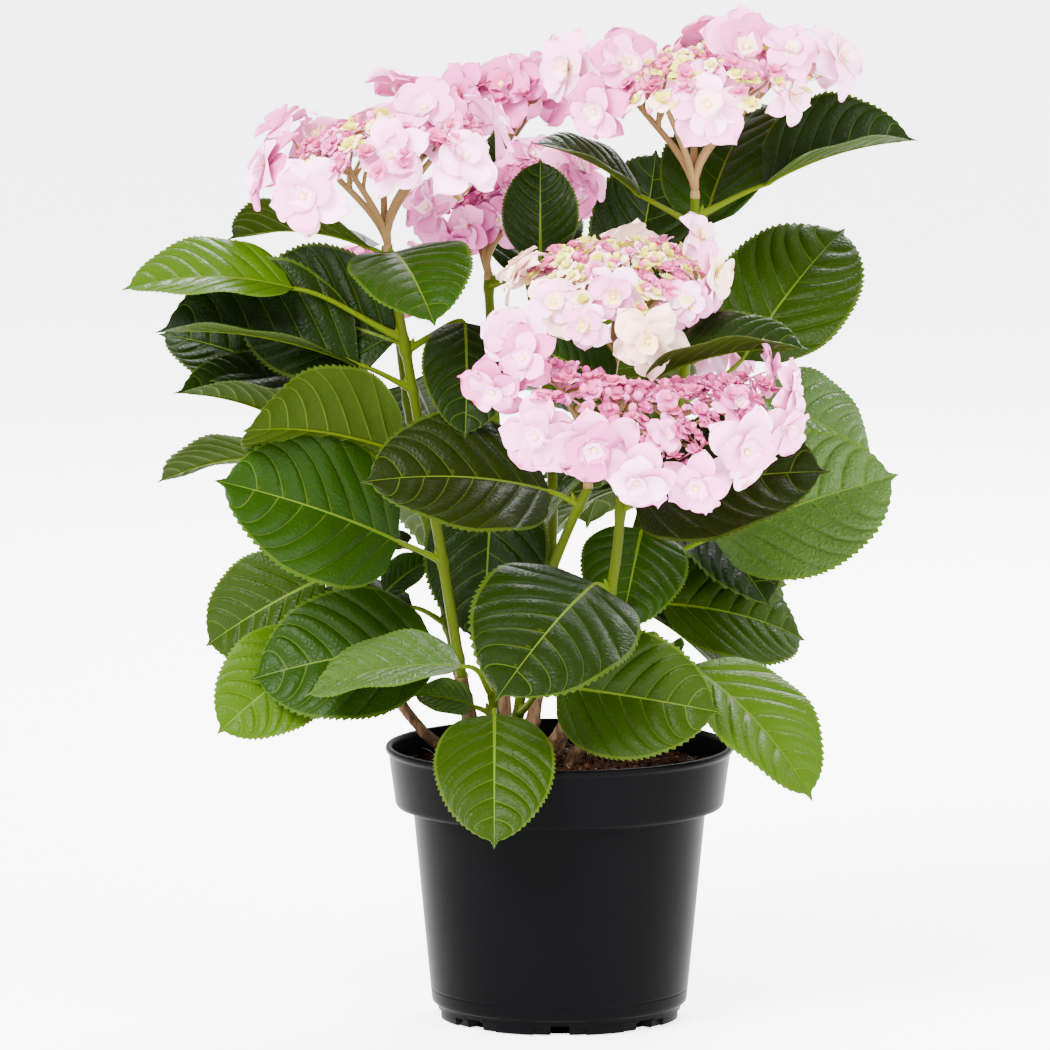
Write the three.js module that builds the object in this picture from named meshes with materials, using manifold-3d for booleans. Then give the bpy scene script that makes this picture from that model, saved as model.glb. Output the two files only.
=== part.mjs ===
// Potted hydrangea of the double lacecap kind: a black nursery pot filled with peat, a fan of
// woody canes, and on each cane a green shoot with opposite leaves and a flat head of blossom.
//
// Units are millimetres and +Z is up. The origin is the centre of the pot's flat underside.
// Headings are degrees round +Z from +X: 0 is right, 90 is back, 180 is left and 270 is front.
import * as THREE from 'three';
import { mergeVertices } from 'three/addons/utils/BufferGeometryUtils.js';
import Module from 'manifold-3d';

const wasm = await Module();
wasm.setup();

// ---- Driving dimensions -------------------------------------------------------------------

const GAP = 0.3; // clearance between neighbouring solids

const POT_HEIGHT = 177;
const RIM_RADIUS = 112.5;
const COLLAR_HEIGHT = 40; // deep band under the rim
const COLLAR_RADIUS = 110.5; // at its top
const COLLAR_FOOT_RADIUS = 106.5;
const BODY_TOP_RADIUS = 95;
const BODY_FOOT_RADIUS = 82.5;
const BASE_RADIUS = 78.5; // foot ring below the body
const BASE_HEIGHT = 9;
const WALL = 2;
const POT_SIDES = 48;
const SOIL_DEPTH = 14; // peat surface below the rim
const NOTCHES = 8; // drain notches round the foot ring
const NOTCH_WIDTH = 13;
const NOTCH_DEPTH = 12;
const NOTCH_HEIGHT = 6;
const NOTCH_FLANK = 35; // width of the shallow recess each notch sits in
const NOTCH_FLANK_DEPTH = 2;

const SOIL_LEVEL = POT_HEIGHT - SOIL_DEPTH;
const CANE_START = SOIL_LEVEL + GAP;
const NODE_RADIUS = 3.6; // of a green shoot where it leaves its cane
const TIP_RADIUS = 3; // where it meets its flower head

const PETIOLE_RISE = 25; // degrees that a leaf stalk climbs as it leaves the shoot
const PETIOLE_RADIUS = 2.2;
const LEAF_WIDTH = 0.76; // of the blade's length
const LEAF_THICKNESS = 0.018; // of the blade's length, at the midrib
const LEAF_ARCH = 0.08; // rise of the blade's middle over its chord, of its length
const LEAF_FOLD = 12; // degrees that each half of a blade is lifted from flat
const LEAF_RINGS = 5;
const FLORET_RADIUS = 20; // of a floret on the far side
const FLORET_DEPTH = 7;
const CUSHION_WIDTH = 0.82; // of a head's radius: small florets that fill its middle
const CUSHION_HEIGHT = 0.24;
const RAYS = 5; // stalks that carry a flower head
const RAY_REACH = 0.52; // of a head's radius: where the stalks end in its cushion

// Each shoot bends once on its way from the peat to its tip. 'fork' is the height where the bare
// woody cane ends and the leafy green shoot begins; 'girth' is the cane's radius at the peat.
const SHOOTS = {
  left: { foot: [-54, -4], bend: [-80, -28, 336], tip: [-110, -25, 499], fork: 222, girth: 5 },
  low_left: { foot: [-66, 12], bend: [-165, 22, 240], tip: [-149, 40, 441], fork: 215, girth: 5 },
  front: { foot: [-30, -6], bend: [-24, -20, 266], tip: [18, -50, 350], fork: 190, girth: 5.5 },
  middle: { foot: [-13, -4], bend: [55, -78, 280], tip: [34, -42, 417], fork: 225, girth: 5 },
  right: { foot: [-10, 14], bend: [90, 40, 320], tip: [87, 10, 530], fork: 235, girth: 5.5 },
  back: { foot: [-35, 16], bend: [-38, 45, 325], tip: [-46, 42, 474], fork: 235, girth: 5 },
  far: { foot: [-22, 28], bend: [20, 105, 360], tip: [-38, 122, 532], fork: 235, girth: 5 },
  back_left: { foot: [-50, 24], bend: [-90, 95, 300], tip: [-105, 95, 436], fork: 230, girth: 4.5 },
  back_right: { foot: [-4, 32], bend: [50, 105, 280], tip: [75, 135, 390], fork: 230, girth: 4.5 },
  young: { foot: [-42, -18], bend: [-41, -26, 195], tip: [-44, -34, 225], fork: 176, girth: 3.5 },
  low_right: { foot: [6, 4], bend: [35, 10, 205], tip: [62, -6, 250], fork: 188, girth: 4 },
};

// Leaves that stand out on each shoot: node height, heading, stalk length, rise of the blade,
// blade length, turn of its face towards the leaf's own left, fold, and the swing of the blade
// away from its stalk's heading. Angles are in degrees.
const LEAVES = {
  left: [
    [443, 181, 78, 0, 110, 20, 12, 4],
    [495, 290, 12, -21, 104, -11, 12, -4],
    [436, 5, 42, -62, 80, 10, 12, 265],
    [495, 150, 15, 0, 108, -20, 15],
    [438, 150, 8, 12, 120, 68, 12],
    [411, 186, 38, 8, 134, 30, 42, -14],
    [363, 208, 21, 10, 122, -51, 20, 7],
    [299, 200, 33, 20, 132, 70, 8],
    [236, 189, 16, -10, 122, 58, 6, -8],
  ],
  low_left: [
    [400, 170, 12, 18, 105, 40, 15],
    [370, 200, 15, 18, 95, 20, 45],
    [276, 180, 16, -31, 92, 70, 12, -10],
    [226, 200, 35, -35, 95, 55, 8],
    [262, 4, 22, 36, 40, -40, 15],
  ],
  front: [
    [339, 190, 22, 5, 128, 45, 8, 10],
    [198, 296, 62, -6, 112, -72, 10, 45],
  ],
  middle: [
    [284, 223, 15, -26, 138, 28, 5, 16],
    [411, 270, 21, 24, 58, 86, 8, -94],
    [400, 290, 56, 12, 108, -8, 26, 60],
    [336, 346, 10, 11, 130, -48, 8, 1],
  ],
  right: [
    [395, 40, 60, 42, 120, -35, 8],
    [362, 30, 75, -28, 100, -50, 10],
    [285, 5, 55, 18, 128, -70, 8],
    [244, 38, 43, -16, 112, -49, 8, -13],
    [311, 229, 8, -40, 91, 14, 8, 29],
    [518, 3, 48, 16, 104, -30, 45],
    [505, 62, 15, 42, 112, 0, 10],
    [513, 158, 41, 26, 80, 10, 15, 30],
  ],
  back: [
    [340, 254, 10, -80, 108, 5, 8],
    [470, 320, 48, 78, 66, 0, 12, 130],
  ],
  far: [
    [452, 92, 28, 34, 92, 0, 12],
    [425, 350, 62, 68, 108, -45, 15, 70],
    [526, 262, 24, 73, 31, 0, 15, -172],
  ],
  young: [
    [182, 270, 64, -50, 100, 0, 5],
    [200, 180, 14, 10, 40, 40, 10],
    [214, 250, 62, -12, 104, 18, 10, -78],
  ],
  low_right: [
    [206, 330, 62, -42, 122, -12, 8],
    [215, 300, 18, 20, 60, -20, 12],
  ],
};

// Flower heads: the middle of the rim, radius to the rim florets, and lean of the head's axis as
// [heading, degrees]. 'rim' and 'upper' count the florets that a rule spreads over the rim and the
// upper slope, 'depth' narrows a head from front to back, 'saddle' lifts its sides and lowers its
// front and back, and 'tall' sets how thick its cushion is, in radii of the head.
const HEADS = {
  left: { at: [-112, -34, 566], radius: 80, lean: [190, 12] },
  front: {
    at: [47, -128, 412], radius: 98, lean: [292, 20], depth: 0.62, saddle: 28, tall: 0.12,
  },
  middle: { at: [38, -46, 486], radius: 73, lean: [270, 8] },
  right: { at: [93, 10, 604], radius: 94, lean: [185, 8] },
  back: { at: [-30, 72, 530], radius: 58, lean: [180, 20], depth: 0.6 },
  far: { at: [-31, 126, 588], radius: 40, lean: [100, 8] },
  back_left: { at: [-118, 98, 470], radius: 46, lean: [130, 14], rim: 8, upper: 2 },
  back_right: { at: [80, 142, 424], radius: 46, lean: [60, 14], rim: 8, upper: 2 },
};

// Large florets that stand out on the heads: bearing round the head, reach in radii of the head,
// lift from the rim, bearing and rise of its face, and its radius. Angles are in degrees.
const FLORETS = {
  left: [
    [185, 1, 7, 200, 10, 23],
    [225, 0.97, -12, 235, 0, 24],
    [160, 0.85, 28, 170, 50, 21],
    [275, 0.7, 2, 262, 15, 22],
    [330, 0.45, 24, 290, 55, 25],
    [320, 0.85, -9, 310, 8, 25],
    [60, 0.45, 38, 80, 45, 21],
    [15, 0.95, 0, 20, 20, 22],
    [55, 1, -4, 55, 25, 22],
    [95, 0.95, 4, 95, 30, 22],
    [130, 0.95, 6, 130, 30, 21],
  ],
  front: [
    [172, 0.88, 38, 200, 40, 19],
    [195, 0.8, 30, 225, 30, 19],
    [200, 1, 8, 215, 5, 21],
    [228, 0.95, -9, 235, 5, 22],
    [255, 1, -6, 260, 5, 24],
    [272, 1.05, -22, 270, -8, 23],
    [295, 1, -26, 285, -15, 20],
    [318, 0.98, -4, 300, 0, 24],
    [342, 1.05, 5, 325, 5, 20],
    [355, 1, 28, 330, 25, 18],
    [15, 0.9, 31, 0, 40, 17],
    [340, 0.7, 18, 310, 40, 15],
    [290, 0.6, 0, 280, 30, 14],
  ],
  middle: [
    [195, 0.95, 7, 215, 20, 17],
    [230, 0.9, -4, 245, 10, 19],
    [250, 0.95, -16, 255, 0, 16],
    [265, 0.75, 0, 265, 25, 18],
    [283, 1.05, -24, 275, -15, 22],
    [335, 0.95, 8, 320, 10, 21],
    [310, 0.9, -4, 300, 10, 15],
    [10, 0.75, 24, 340, 50, 17],
    [50, 0.9, 6, 50, 35, 17],
    [85, 0.9, 6, 85, 35, 17],
    [172, 0.9, 8, 172, 35, 16],
  ],
  right: [
    [190, 0.95, 24, 200, 20, 24],
    [215, 0.95, -3, 230, -5, 21],
    [215, 0.6, 24, 260, 45, 24],
    [270, 0.75, -6, 265, 15, 25],
    [310, 0.5, 24, 280, 40, 25],
    [350, 0.98, 8, 340, 20, 22],
    [320, 0.8, 20, 300, 35, 17],
    [325, 0.72, -12, 310, 0, 15],
    [90, 0.4, 28, 90, 60, 22],
    [30, 0.95, 5, 30, 30, 23],
    [65, 0.95, 5, 65, 30, 23],
    [100, 0.95, 5, 100, 30, 23],
    [135, 0.95, 8, 135, 30, 23],
    [165, 0.95, 14, 165, 30, 22],
  ],
  back: [
    [340, 0.88, 1, 320, 20, 24],
    [45, 0.5, 17, 330, 45, 20],
    [315, 0.95, -17, 290, 5, 17],
    [268, 0.8, 1, 262, 20, 17],
    [250, 0.8, -12, 250, 5, 18],
    [228, 0.95, -9, 232, 5, 19],
    [192, 1, 10, 205, 20, 23],
    [215, 0.98, -19, 225, -20, 15],
    [70, 0.95, 4, 70, 30, 19],
    [120, 0.95, 4, 120, 30, 19],
  ],
  far: [
    [250, 0.5, 6, 255, 25, 25],
    [200, 0.95, 0, 200, 20, 20],
    [320, 0.5, 8, 300, 35, 20],
    [0, 0.9, -4, 0, 10, 18],
    [60, 0.9, 2, 60, 30, 20],
    [120, 0.9, 2, 120, 30, 20],
  ],
};

// Seeded leaves that fill the far side: pairs at these heights, turned a quarter from pair to
// pair. A leaf that comes too near to what is already there is swung aside, and else skipped.
const FILL = {
  back_left: { heights: [246, 282, 318, 354, 390], heading: 125, size: 114 },
  back_right: { heights: [246, 282, 318, 354], heading: 60, size: 114 },
  far: { heights: [262, 300, 340, 380, 420, 460, 495], heading: 90, size: 108 },
  back: { heights: [262, 300, 340, 380, 420], heading: 110, size: 100 },
  right: { heights: [272, 315, 365, 415], heading: 105, size: 104 },
  left: { heights: [270, 330, 385], heading: 95, size: 95 },
  low_left: { heights: [346], heading: 82, size: 100 },
};
const SWINGS = [0, 15, -15, 30, -30, 45, -45];
const CLEAR = 14; // to another leaf or a flower head
const CLEAR_LIMB = 9;
const SEED = 23;

// Everything that a filling leaf or a floret has to keep clear of, as points. A point on a shoot
// names it as its owner; points on leaves and flower heads have none.
const taken = [];

// ---- Helpers ------------------------------------------------------------------------------

const rad = THREE.MathUtils.degToRad;
const UP = new THREE.Vector3(0, 0, 1);

function seeded(seed) {
  let state = seed;
  return () => {
    state = (state * 16807) % 2147483647;
    return state / 2147483647;
  };
}

function direction(heading, rise) {
  const level = Math.cos(rad(rise));
  return new THREE.Vector3(
    level * Math.cos(rad(heading)),
    level * Math.sin(rad(heading)),
    Math.sin(rad(rise)),
  );
}

// A closed three.js geometry becomes a solid once its seams are welded.
function toSolid(geometry) {
  const bare = geometry.clone();
  bare.deleteAttribute('normal');
  bare.deleteAttribute('uv');
  const welded = mergeVertices(bare, 1e-4);
  const corners = welded.index.array;
  const kept = [];
  for (let i = 0; i < corners.length; i += 3) {
    const [a, b, c] = [corners[i], corners[i + 1], corners[i + 2]];
    if (a !== b && b !== c && c !== a) {
      kept.push(a, b, c);
    }
  }
  return new wasm.Manifold(new wasm.Mesh({
    numProp: 3,
    vertProperties: new Float32Array(welded.attributes.position.array),
    triVerts: new Uint32Array(kept),
  }));
}

function fromSolid(solid) {
  const mesh = solid.getMesh();
  const geometry = new THREE.BufferGeometry();
  geometry.setAttribute('position', new THREE.BufferAttribute(mesh.vertProperties, 3));
  geometry.setIndex(new THREE.BufferAttribute(mesh.triVerts, 1));
  geometry.computeVertexNormals();
  return geometry;
}

// Fuses shapes into one solid and drops a loose scrap that none of the others reaches.
function join(geometries) {
  const whole = geometries.map(toSolid).reduce((sum, next) => sum.add(next));
  return whole.decompose().reduce((most, next) => (next.volume() > most.volume() ? next : most));
}

// Moves every vertex of a geometry to the place that 'place' gives for it.
function reshape(geometry, place) {
  const spots = geometry.attributes.position;
  const vertex = new THREE.Vector3();
  for (let i = 0; i < spots.count; i += 1) {
    vertex.fromBufferAttribute(spots, i);
    const moved = place(vertex.clone());
    spots.setXYZ(i, moved.x, moved.y, moved.z);
  }
  return geometry;
}

// ---- Limbs --------------------------------------------------------------------------------

function shootCurve({ foot, bend, tip }) {
  return new THREE.QuadraticBezierCurve3(
    new THREE.Vector3(foot[0], foot[1], SOIL_LEVEL),
    new THREE.Vector3(...bend),
    new THREE.Vector3(...tip),
  );
}

// The point of a rising curve at a given height.
function atHeight(curve, height) {
  let low = 0;
  let high = 1;
  for (let i = 0; i < 30; i += 1) {
    const middle = (low + high) / 2;
    if (curve.getPoint(middle).z < height) {
      low = middle;
    } else {
      high = middle;
    }
  }
  return curve.getPoint((low + high) / 2);
}

// A round limb along a rising curve, with level sections and flat ends.
function limb(curve, from, to, fromRadius, toRadius, sides, steps) {
  const blank = new THREE.CylinderGeometry(1, 1, 1, sides, steps);
  return reshape(blank, (v) => {
    const share = v.y + 0.5;
    const height = THREE.MathUtils.lerp(from, to, share);
    const radius = THREE.MathUtils.lerp(fromRadius, toRadius, share);
    const centre = atHeight(curve, height);
    return new THREE.Vector3(centre.x + radius * v.x, centre.y - radius * v.z, height);
  });
}

// A straight three-sided stalk between two points.
function stalk(start, end, startRadius, endRadius) {
  const along = end.clone().sub(start);
  const rod = new THREE.CylinderGeometry(endRadius, startRadius, along.length(), 3);
  rod.translate(0, along.length() / 2, 0);
  const turn = new THREE.Quaternion();
  turn.setFromUnitVectors(new THREE.Vector3(0, 1, 0), along.clone().normalize());
  rod.applyQuaternion(turn);
  rod.translate(start.x, start.y, start.z);
  return rod;
}

// ---- Leaves -------------------------------------------------------------------------------

// Half width of an ovate blade at a share of its length, as a share of its greatest.
function outline(share) {
  return 2.49 * share ** 0.55 * (1 - share) ** 0.8;
}

// Where a leaf grows: its node on the shoot, the foot of its blade, and the blade's own axes.
function seat(curve, [height, heading, petiole, rise, blade, turn, fold = LEAF_FOLD, swing = 0]) {
  const node = atHeight(curve, height);
  const foot = node.clone().addScaledVector(direction(heading, PETIOLE_RISE), petiole);
  const along = direction(heading + swing, rise);
  const left = new THREE.Vector3().crossVectors(UP, along).normalize();
  const face = new THREE.Vector3().crossVectors(along, left);
  left.applyAxisAngle(along, -rad(turn));
  face.applyAxisAngle(along, -rad(turn));
  return { node, foot, along, left, face, blade, fold };
}

// A point on a leaf: share of its length, and of its half width to its left.
function onLeaf({ foot, along, left, face, blade, fold }, share, across) {
  const wide = (LEAF_WIDTH / 2) * blade * outline(share) * across;
  const arch = LEAF_ARCH * blade * 4 * share * (1 - share);
  return foot.clone()
    .addScaledVector(along, blade * share)
    .addScaledVector(left, wide * Math.cos(rad(fold)))
    .addScaledVector(face, arch + Math.abs(wide) * Math.sin(rad(fold)));
}

// A thin closed blade with a ridge along both of its faces and a sharp edge.
function bladeShape(leaf) {
  const blank = new THREE.SphereGeometry(1, 4, LEAF_RINGS);
  return reshape(blank, (v) => {
    const share = Math.acos(THREE.MathUtils.clamp(v.y, -1, 1)) / Math.PI;
    const ring = Math.sqrt(Math.max(1 - v.y * v.y, 0)) || 1;
    const thick = (LEAF_THICKNESS / 2) * leaf.blade * Math.min(1, 4 * (1 - share)) * (v.z / ring);
    return onLeaf(leaf, share, v.x / ring).addScaledVector(leaf.face, thick);
  });
}

function leafShapes(leaf) {
  const heel = leaf.foot.clone().addScaledVector(leaf.along, leaf.blade * 0.08);
  heel.addScaledVector(leaf.face, LEAF_ARCH * leaf.blade * 0.29);
  return [stalk(leaf.node, heel, PETIOLE_RADIUS, PETIOLE_RADIUS * 0.7), bladeShape(leaf)];
}

// Points spread over a leaf and its stalk, for telling how near it comes to other things.
function leafSpots(leaf) {
  const spots = [0.4, 0.7, 1].map((share) => leaf.node.clone().lerp(leaf.foot, share));
  for (const share of [0.12, 0.26, 0.4, 0.54, 0.68, 0.82, 0.96]) {
    for (const across of [-0.95, -0.5, 0, 0.5, 0.95]) {
      spots.push(onLeaf(leaf, share, across));
    }
  }
  return spots;
}

// ---- Flower heads -------------------------------------------------------------------------

// Axes of a head: 'up' is the way it faces, 'east' and 'north' span the rim.
function headFrame({ lean: [heading, tilt] }) {
  const up = direction(heading, 90 - tilt);
  const east = new THREE.Vector3(1, 0, 0).addScaledVector(up, -up.x).normalize();
  const north = new THREE.Vector3().crossVectors(up, east);
  return { up, east, north };
}

// Places and facings of the large florets of a head.
function floretSeats(name, chance) {
  const head = HEADS[name];
  const { up, east, north } = headFrame(head);
  const centre = new THREE.Vector3(...head.at);
  const { depth = 1, rim = 0, upper = 0 } = head;
  const seats = [];
  const put = (bearing, reach, lift, aim, look, size) => {
    const spot = centre.clone().addScaledVector(up, lift);
    spot.addScaledVector(east, Math.cos(rad(bearing)) * reach * head.radius);
    spot.addScaledVector(north, Math.sin(rad(bearing)) * reach * head.radius * depth);
    const facing = up.clone().multiplyScalar(Math.sin(rad(look)));
    facing.addScaledVector(east, Math.cos(rad(aim)) * Math.cos(rad(look)));
    facing.addScaledVector(north, Math.sin(rad(aim)) * Math.cos(rad(look)));
    seats.push({ spot, facing, size });
  };
  for (const row of FLORETS[name] ?? []) {
    put(...row);
  }
  for (let i = 0; i < rim; i += 1) {
    const bearing = (360 * (i + 0.5 + 0.3 * (chance() - 0.5))) / rim;
    put(bearing, 0.85 + 0.15 * chance(), 14 * (chance() - 0.5), bearing, 15 + 30 * chance(), FLORET_RADIUS);
  }
  for (let i = 0; i < upper; i += 1) {
    const bearing = (360 * (i + 0.5 * chance())) / upper;
    put(bearing, 0.5, head.radius * 0.26 + 8 * chance(), bearing, 40 + 20 * chance(), FLORET_RADIUS);
  }
  return seats;
}

// A large floret as a flat five-sided double cone that faces outwards.
function floretShape({ spot, facing, size }) {
  const blank = new THREE.SphereGeometry(1, 5, 2);
  blank.scale(size, FLORET_DEPTH, size);
  blank.applyQuaternion(new THREE.Quaternion().setFromUnitVectors(new THREE.Vector3(0, 1, 0), facing));
  blank.translate(spot.x, spot.y, spot.z);
  return blank;
}

// The cushion of small fertile florets in the middle of a head.
function cushionShape(head) {
  const { up, east, north } = headFrame(head);
  const blank = new THREE.SphereGeometry(1, 8, 4);
  const wide = head.radius * CUSHION_WIDTH;
  const tall = head.radius * (head.tall ?? CUSHION_HEIGHT);
  const { depth = 1, saddle = 0 } = head;
  const basis = new THREE.Matrix4().makeBasis(east, up, north.clone().negate());
  reshape(blank, (v) => {
    const sag = saddle * (v.x * v.x - v.z * v.z);
    return new THREE.Vector3(wide * v.x, tall * v.y + sag, wide * v.z * depth);
  });
  blank.applyMatrix4(basis);
  blank.translate(...head.at);
  return blank;
}

function headSolid(name, chance) {
  const head = HEADS[name];
  const curve = shootCurve(SHOOTS[name]);
  const { up, east, north } = headFrame(head);
  const centre = new THREE.Vector3(...head.at);
  const neck = new THREE.Vector3(...SHOOTS[name].tip);
  neck.z += GAP;
  const fork = neck.clone();
  fork.z += 5;
  const stub = new THREE.CylinderGeometry(3, 3.2, 6, 6);
  stub.rotateX(Math.PI / 2);
  stub.translate(neck.x, neck.y, neck.z + 3);
  const shapes = [stub, cushionShape(head)];
  const { depth = 1, saddle = 0 } = head;
  const sag = saddle * (RAY_REACH / CUSHION_WIDTH) ** 2;
  for (let i = 0; i < RAYS; i += 1) {
    const bearing = rad((360 * i) / RAYS + 20);
    const end = centre.clone().addScaledVector(up, sag * Math.cos(2 * bearing));
    end.addScaledVector(east, head.radius * RAY_REACH * Math.cos(bearing));
    end.addScaledVector(north, head.radius * RAY_REACH * Math.sin(bearing) * depth);
    shapes.push(stalk(fork, end, 2.4, 1.8));
  }
  const limbs = taken.filter((other) => other.owner && other.owner !== name);
  for (const floret of floretSeats(name, chance)) {
    if (limbs.every((other) => other.spot.distanceTo(floret.spot) > floret.size + 4)) {
      shapes.push(floretShape(floret));
      shapes.push(stalk(centre.clone().lerp(floret.spot, 0.3), floret.spot, 1.6, 1.6));
    }
  }
  return join(shapes);
}

// ---- Pot and peat -------------------------------------------------------------------------

function lathe(profile, sides) {
  const turned = new THREE.LatheGeometry(profile.map(([r, z]) => new THREE.Vector2(r, z)), sides);
  return turned.rotateX(Math.PI / 2);
}

const collarFoot = POT_HEIGHT - COLLAR_HEIGHT;
const floor = BASE_HEIGHT + 1;

function potSolid() {
  const outer = [
    [0, 0],
    [BASE_RADIUS, 0],
    [BASE_RADIUS + 0.8, BASE_HEIGHT],
    [BODY_FOOT_RADIUS - 0.6, BASE_HEIGHT + 1],
    [BODY_FOOT_RADIUS + 0.4, BASE_HEIGHT + 4],
    [BODY_TOP_RADIUS, collarFoot],
    [COLLAR_FOOT_RADIUS - 2.5, collarFoot + 0.5],
    [COLLAR_FOOT_RADIUS, collarFoot + 4],
    [COLLAR_RADIUS, POT_HEIGHT - 5],
    [RIM_RADIUS, POT_HEIGHT - 3.5],
    [RIM_RADIUS, POT_HEIGHT - 1],
    [RIM_RADIUS - 1, POT_HEIGHT],
  ];
  const inner = [
    [COLLAR_RADIUS - WALL + 0.5, POT_HEIGHT],
    [COLLAR_RADIUS - WALL - 0.5, POT_HEIGHT - 3],
    [COLLAR_FOOT_RADIUS - WALL, collarFoot + 5],
    [BODY_TOP_RADIUS - WALL, collarFoot + 2],
    [BODY_FOOT_RADIUS - WALL, floor],
    [0, floor],
  ];
  const shell = toSolid(lathe([...outer, ...inner], POT_SIDES));
  const cuts = [];
  for (let i = 0; i < NOTCHES; i += 1) {
    const notch = new THREE.BoxGeometry(NOTCH_DEPTH * 2, NOTCH_WIDTH, NOTCH_HEIGHT * 2);
    const flank = new THREE.BoxGeometry(NOTCH_FLANK_DEPTH * 2 + 2, NOTCH_FLANK, NOTCH_HEIGHT * 2 - 2);
    for (const [box, reach] of [[notch, BASE_RADIUS], [flank, BASE_RADIUS - 0.5]]) {
      box.translate(reach, 0, 0);
      box.rotateZ(rad((360 * i) / NOTCHES - 90));
      cuts.push(box);
    }
  }
  return cuts.map(toSolid).reduce((rest, cut) => rest.subtract(cut), shell);
}

function soilSolid() {
  const profile = [
    [0, floor + GAP],
    [BODY_FOOT_RADIUS - WALL - GAP, floor + GAP],
    [BODY_TOP_RADIUS - WALL - GAP * 1.5, collarFoot + 2],
    [COLLAR_FOOT_RADIUS - WALL - GAP * 1.5, collarFoot + 6],
    [COLLAR_FOOT_RADIUS - WALL + 1, SOIL_LEVEL - 3],
    [78, SOIL_LEVEL],
    [0, SOIL_LEVEL],
  ];
  return toSolid(lathe(profile, POT_SIDES));
}

// ---- The whole plant ----------------------------------------------------------------------

const group = new THREE.Group();

function add(name, solid, colour, roughness) {
  const material = new THREE.MeshStandardMaterial({ color: colour, roughness, metalness: 0 });
  const mesh = new THREE.Mesh(fromSolid(solid), material);
  mesh.name = name;
  group.add(mesh);
}

add('pot', potSolid(), '#141414', 0.45);
add('soil', soilSolid(), '#3a2218', 0.95);

const chance = seeded(SEED);
const leaves = {};
for (const [name, shoot] of Object.entries(SHOOTS)) {
  const curve = shootCurve(shoot);
  leaves[name] = (LEAVES[name] ?? []).map((row) => seat(curve, row));
  for (const leaf of leaves[name]) {
    taken.push(...leafSpots(leaf).map((spot) => ({ spot, owner: '' })));
  }
  taken.push(...curve.getSpacedPoints(36).map((spot) => ({ spot, owner: name })));
}
for (const head of Object.values(HEADS)) {
  for (const reach of [0.3, 0.6, 0.9, 1.15]) {
    for (let bearing = 0; bearing < 360; bearing += 24) {
      const { east, north } = headFrame(head);
      const spot = new THREE.Vector3(...head.at);
      spot.addScaledVector(east, head.radius * reach * Math.cos(rad(bearing)));
      spot.addScaledVector(north, head.radius * reach * Math.sin(rad(bearing)));
      taken.push({ spot, owner: '' });
    }
  }
}

function fillShoot(name, { heights, heading, size }) {
  const curve = shootCurve(SHOOTS[name]);
  heights.forEach((height, step) => {
    for (const side of [-1, 1]) {
      const spread = step % 2 ? 25 : 80;
      const aim = heading + side * spread + 20 * (chance() - 0.5);
      const rise = -6 - 40 * chance();
      const blade = size * (0.85 + 0.25 * chance());
      const stalkLength = 18 + 14 * chance();
      const turn = 50 * (chance() - 0.5);
      for (const swing of SWINGS) {
        const leaf = seat(curve, [height, aim + swing, stalkLength, rise, blade, turn]);
        const spots = leafSpots(leaf);
        const free = spots.every((spot) => taken.every(
          ({ spot: near, owner }) => owner === name || near.distanceTo(spot) > (owner ? CLEAR_LIMB : CLEAR),
        ));
        if (free) {
          leaves[name].push(leaf);
          taken.push(...spots.map((spot) => ({ spot, owner: '' })));
          break;
        }
      }
    }
  });
}
Object.entries(FILL).forEach(([name, rule]) => fillShoot(name, rule));

for (const [name, shoot] of Object.entries(SHOOTS)) {
  const curve = shootCurve(shoot);
  const cane = limb(curve, CANE_START, shoot.fork, shoot.girth, NODE_RADIUS + 0.4, 8, 3);
  add(`cane_${name}`, toSolid(cane), '#6b4a33', 0.8);
  const stem = limb(curve, shoot.fork + GAP, shoot.tip[2], NODE_RADIUS, TIP_RADIUS, 6, 5);
  add(`leaves_${name}`, join([stem, ...leaves[name].flatMap(leafShapes)]), '#2f5a23', 0.5);
}

for (const name of Object.keys(HEADS)) {
  add(`blossom_${name}`, headSolid(name, chance), '#e9b4d0', 0.6);
}

export default group;
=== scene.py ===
"""Dresses the solids of a potted double lacecap hydrangea with its looks.

Leaves with toothed margins and veins, flower heads of double florets and small buds, flaking
bark, peat and the moulded pot stand in for the plain solids, each in the same place.
"""

import math
from functools import lru_cache
from types import SimpleNamespace

import bpy
import numpy as np
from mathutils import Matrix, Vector, noise


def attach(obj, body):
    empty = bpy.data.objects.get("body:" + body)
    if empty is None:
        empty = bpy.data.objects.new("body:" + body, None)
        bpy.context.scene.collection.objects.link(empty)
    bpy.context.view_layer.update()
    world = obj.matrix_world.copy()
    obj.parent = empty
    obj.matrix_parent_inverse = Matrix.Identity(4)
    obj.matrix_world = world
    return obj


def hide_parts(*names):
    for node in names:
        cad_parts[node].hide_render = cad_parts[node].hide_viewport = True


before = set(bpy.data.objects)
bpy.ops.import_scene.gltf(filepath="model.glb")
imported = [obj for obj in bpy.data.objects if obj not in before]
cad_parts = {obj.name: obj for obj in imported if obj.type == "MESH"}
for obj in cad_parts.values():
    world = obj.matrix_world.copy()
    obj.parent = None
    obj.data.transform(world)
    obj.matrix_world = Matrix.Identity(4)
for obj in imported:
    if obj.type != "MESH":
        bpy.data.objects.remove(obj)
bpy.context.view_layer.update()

bl_info = {
    "name": "Potted hydrangea",
    "version": (1, 0, 0),
    "blender": (4, 5, 0),
    "location": "View3D > Sidebar > Hydrangea",
    "description": "Dresses a hydrangea's solids with leaves, blossom, bark, peat and a moulded pot",
    "category": "Object",
}

# ---- Sizes of the plant, in millimetres as in the part's source ----------------------------

MM = 0.001  # metres in one millimetre: pieces are worked out in millimetres and made in metres
NO_LENGTH = 1e-7  # metres

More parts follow.
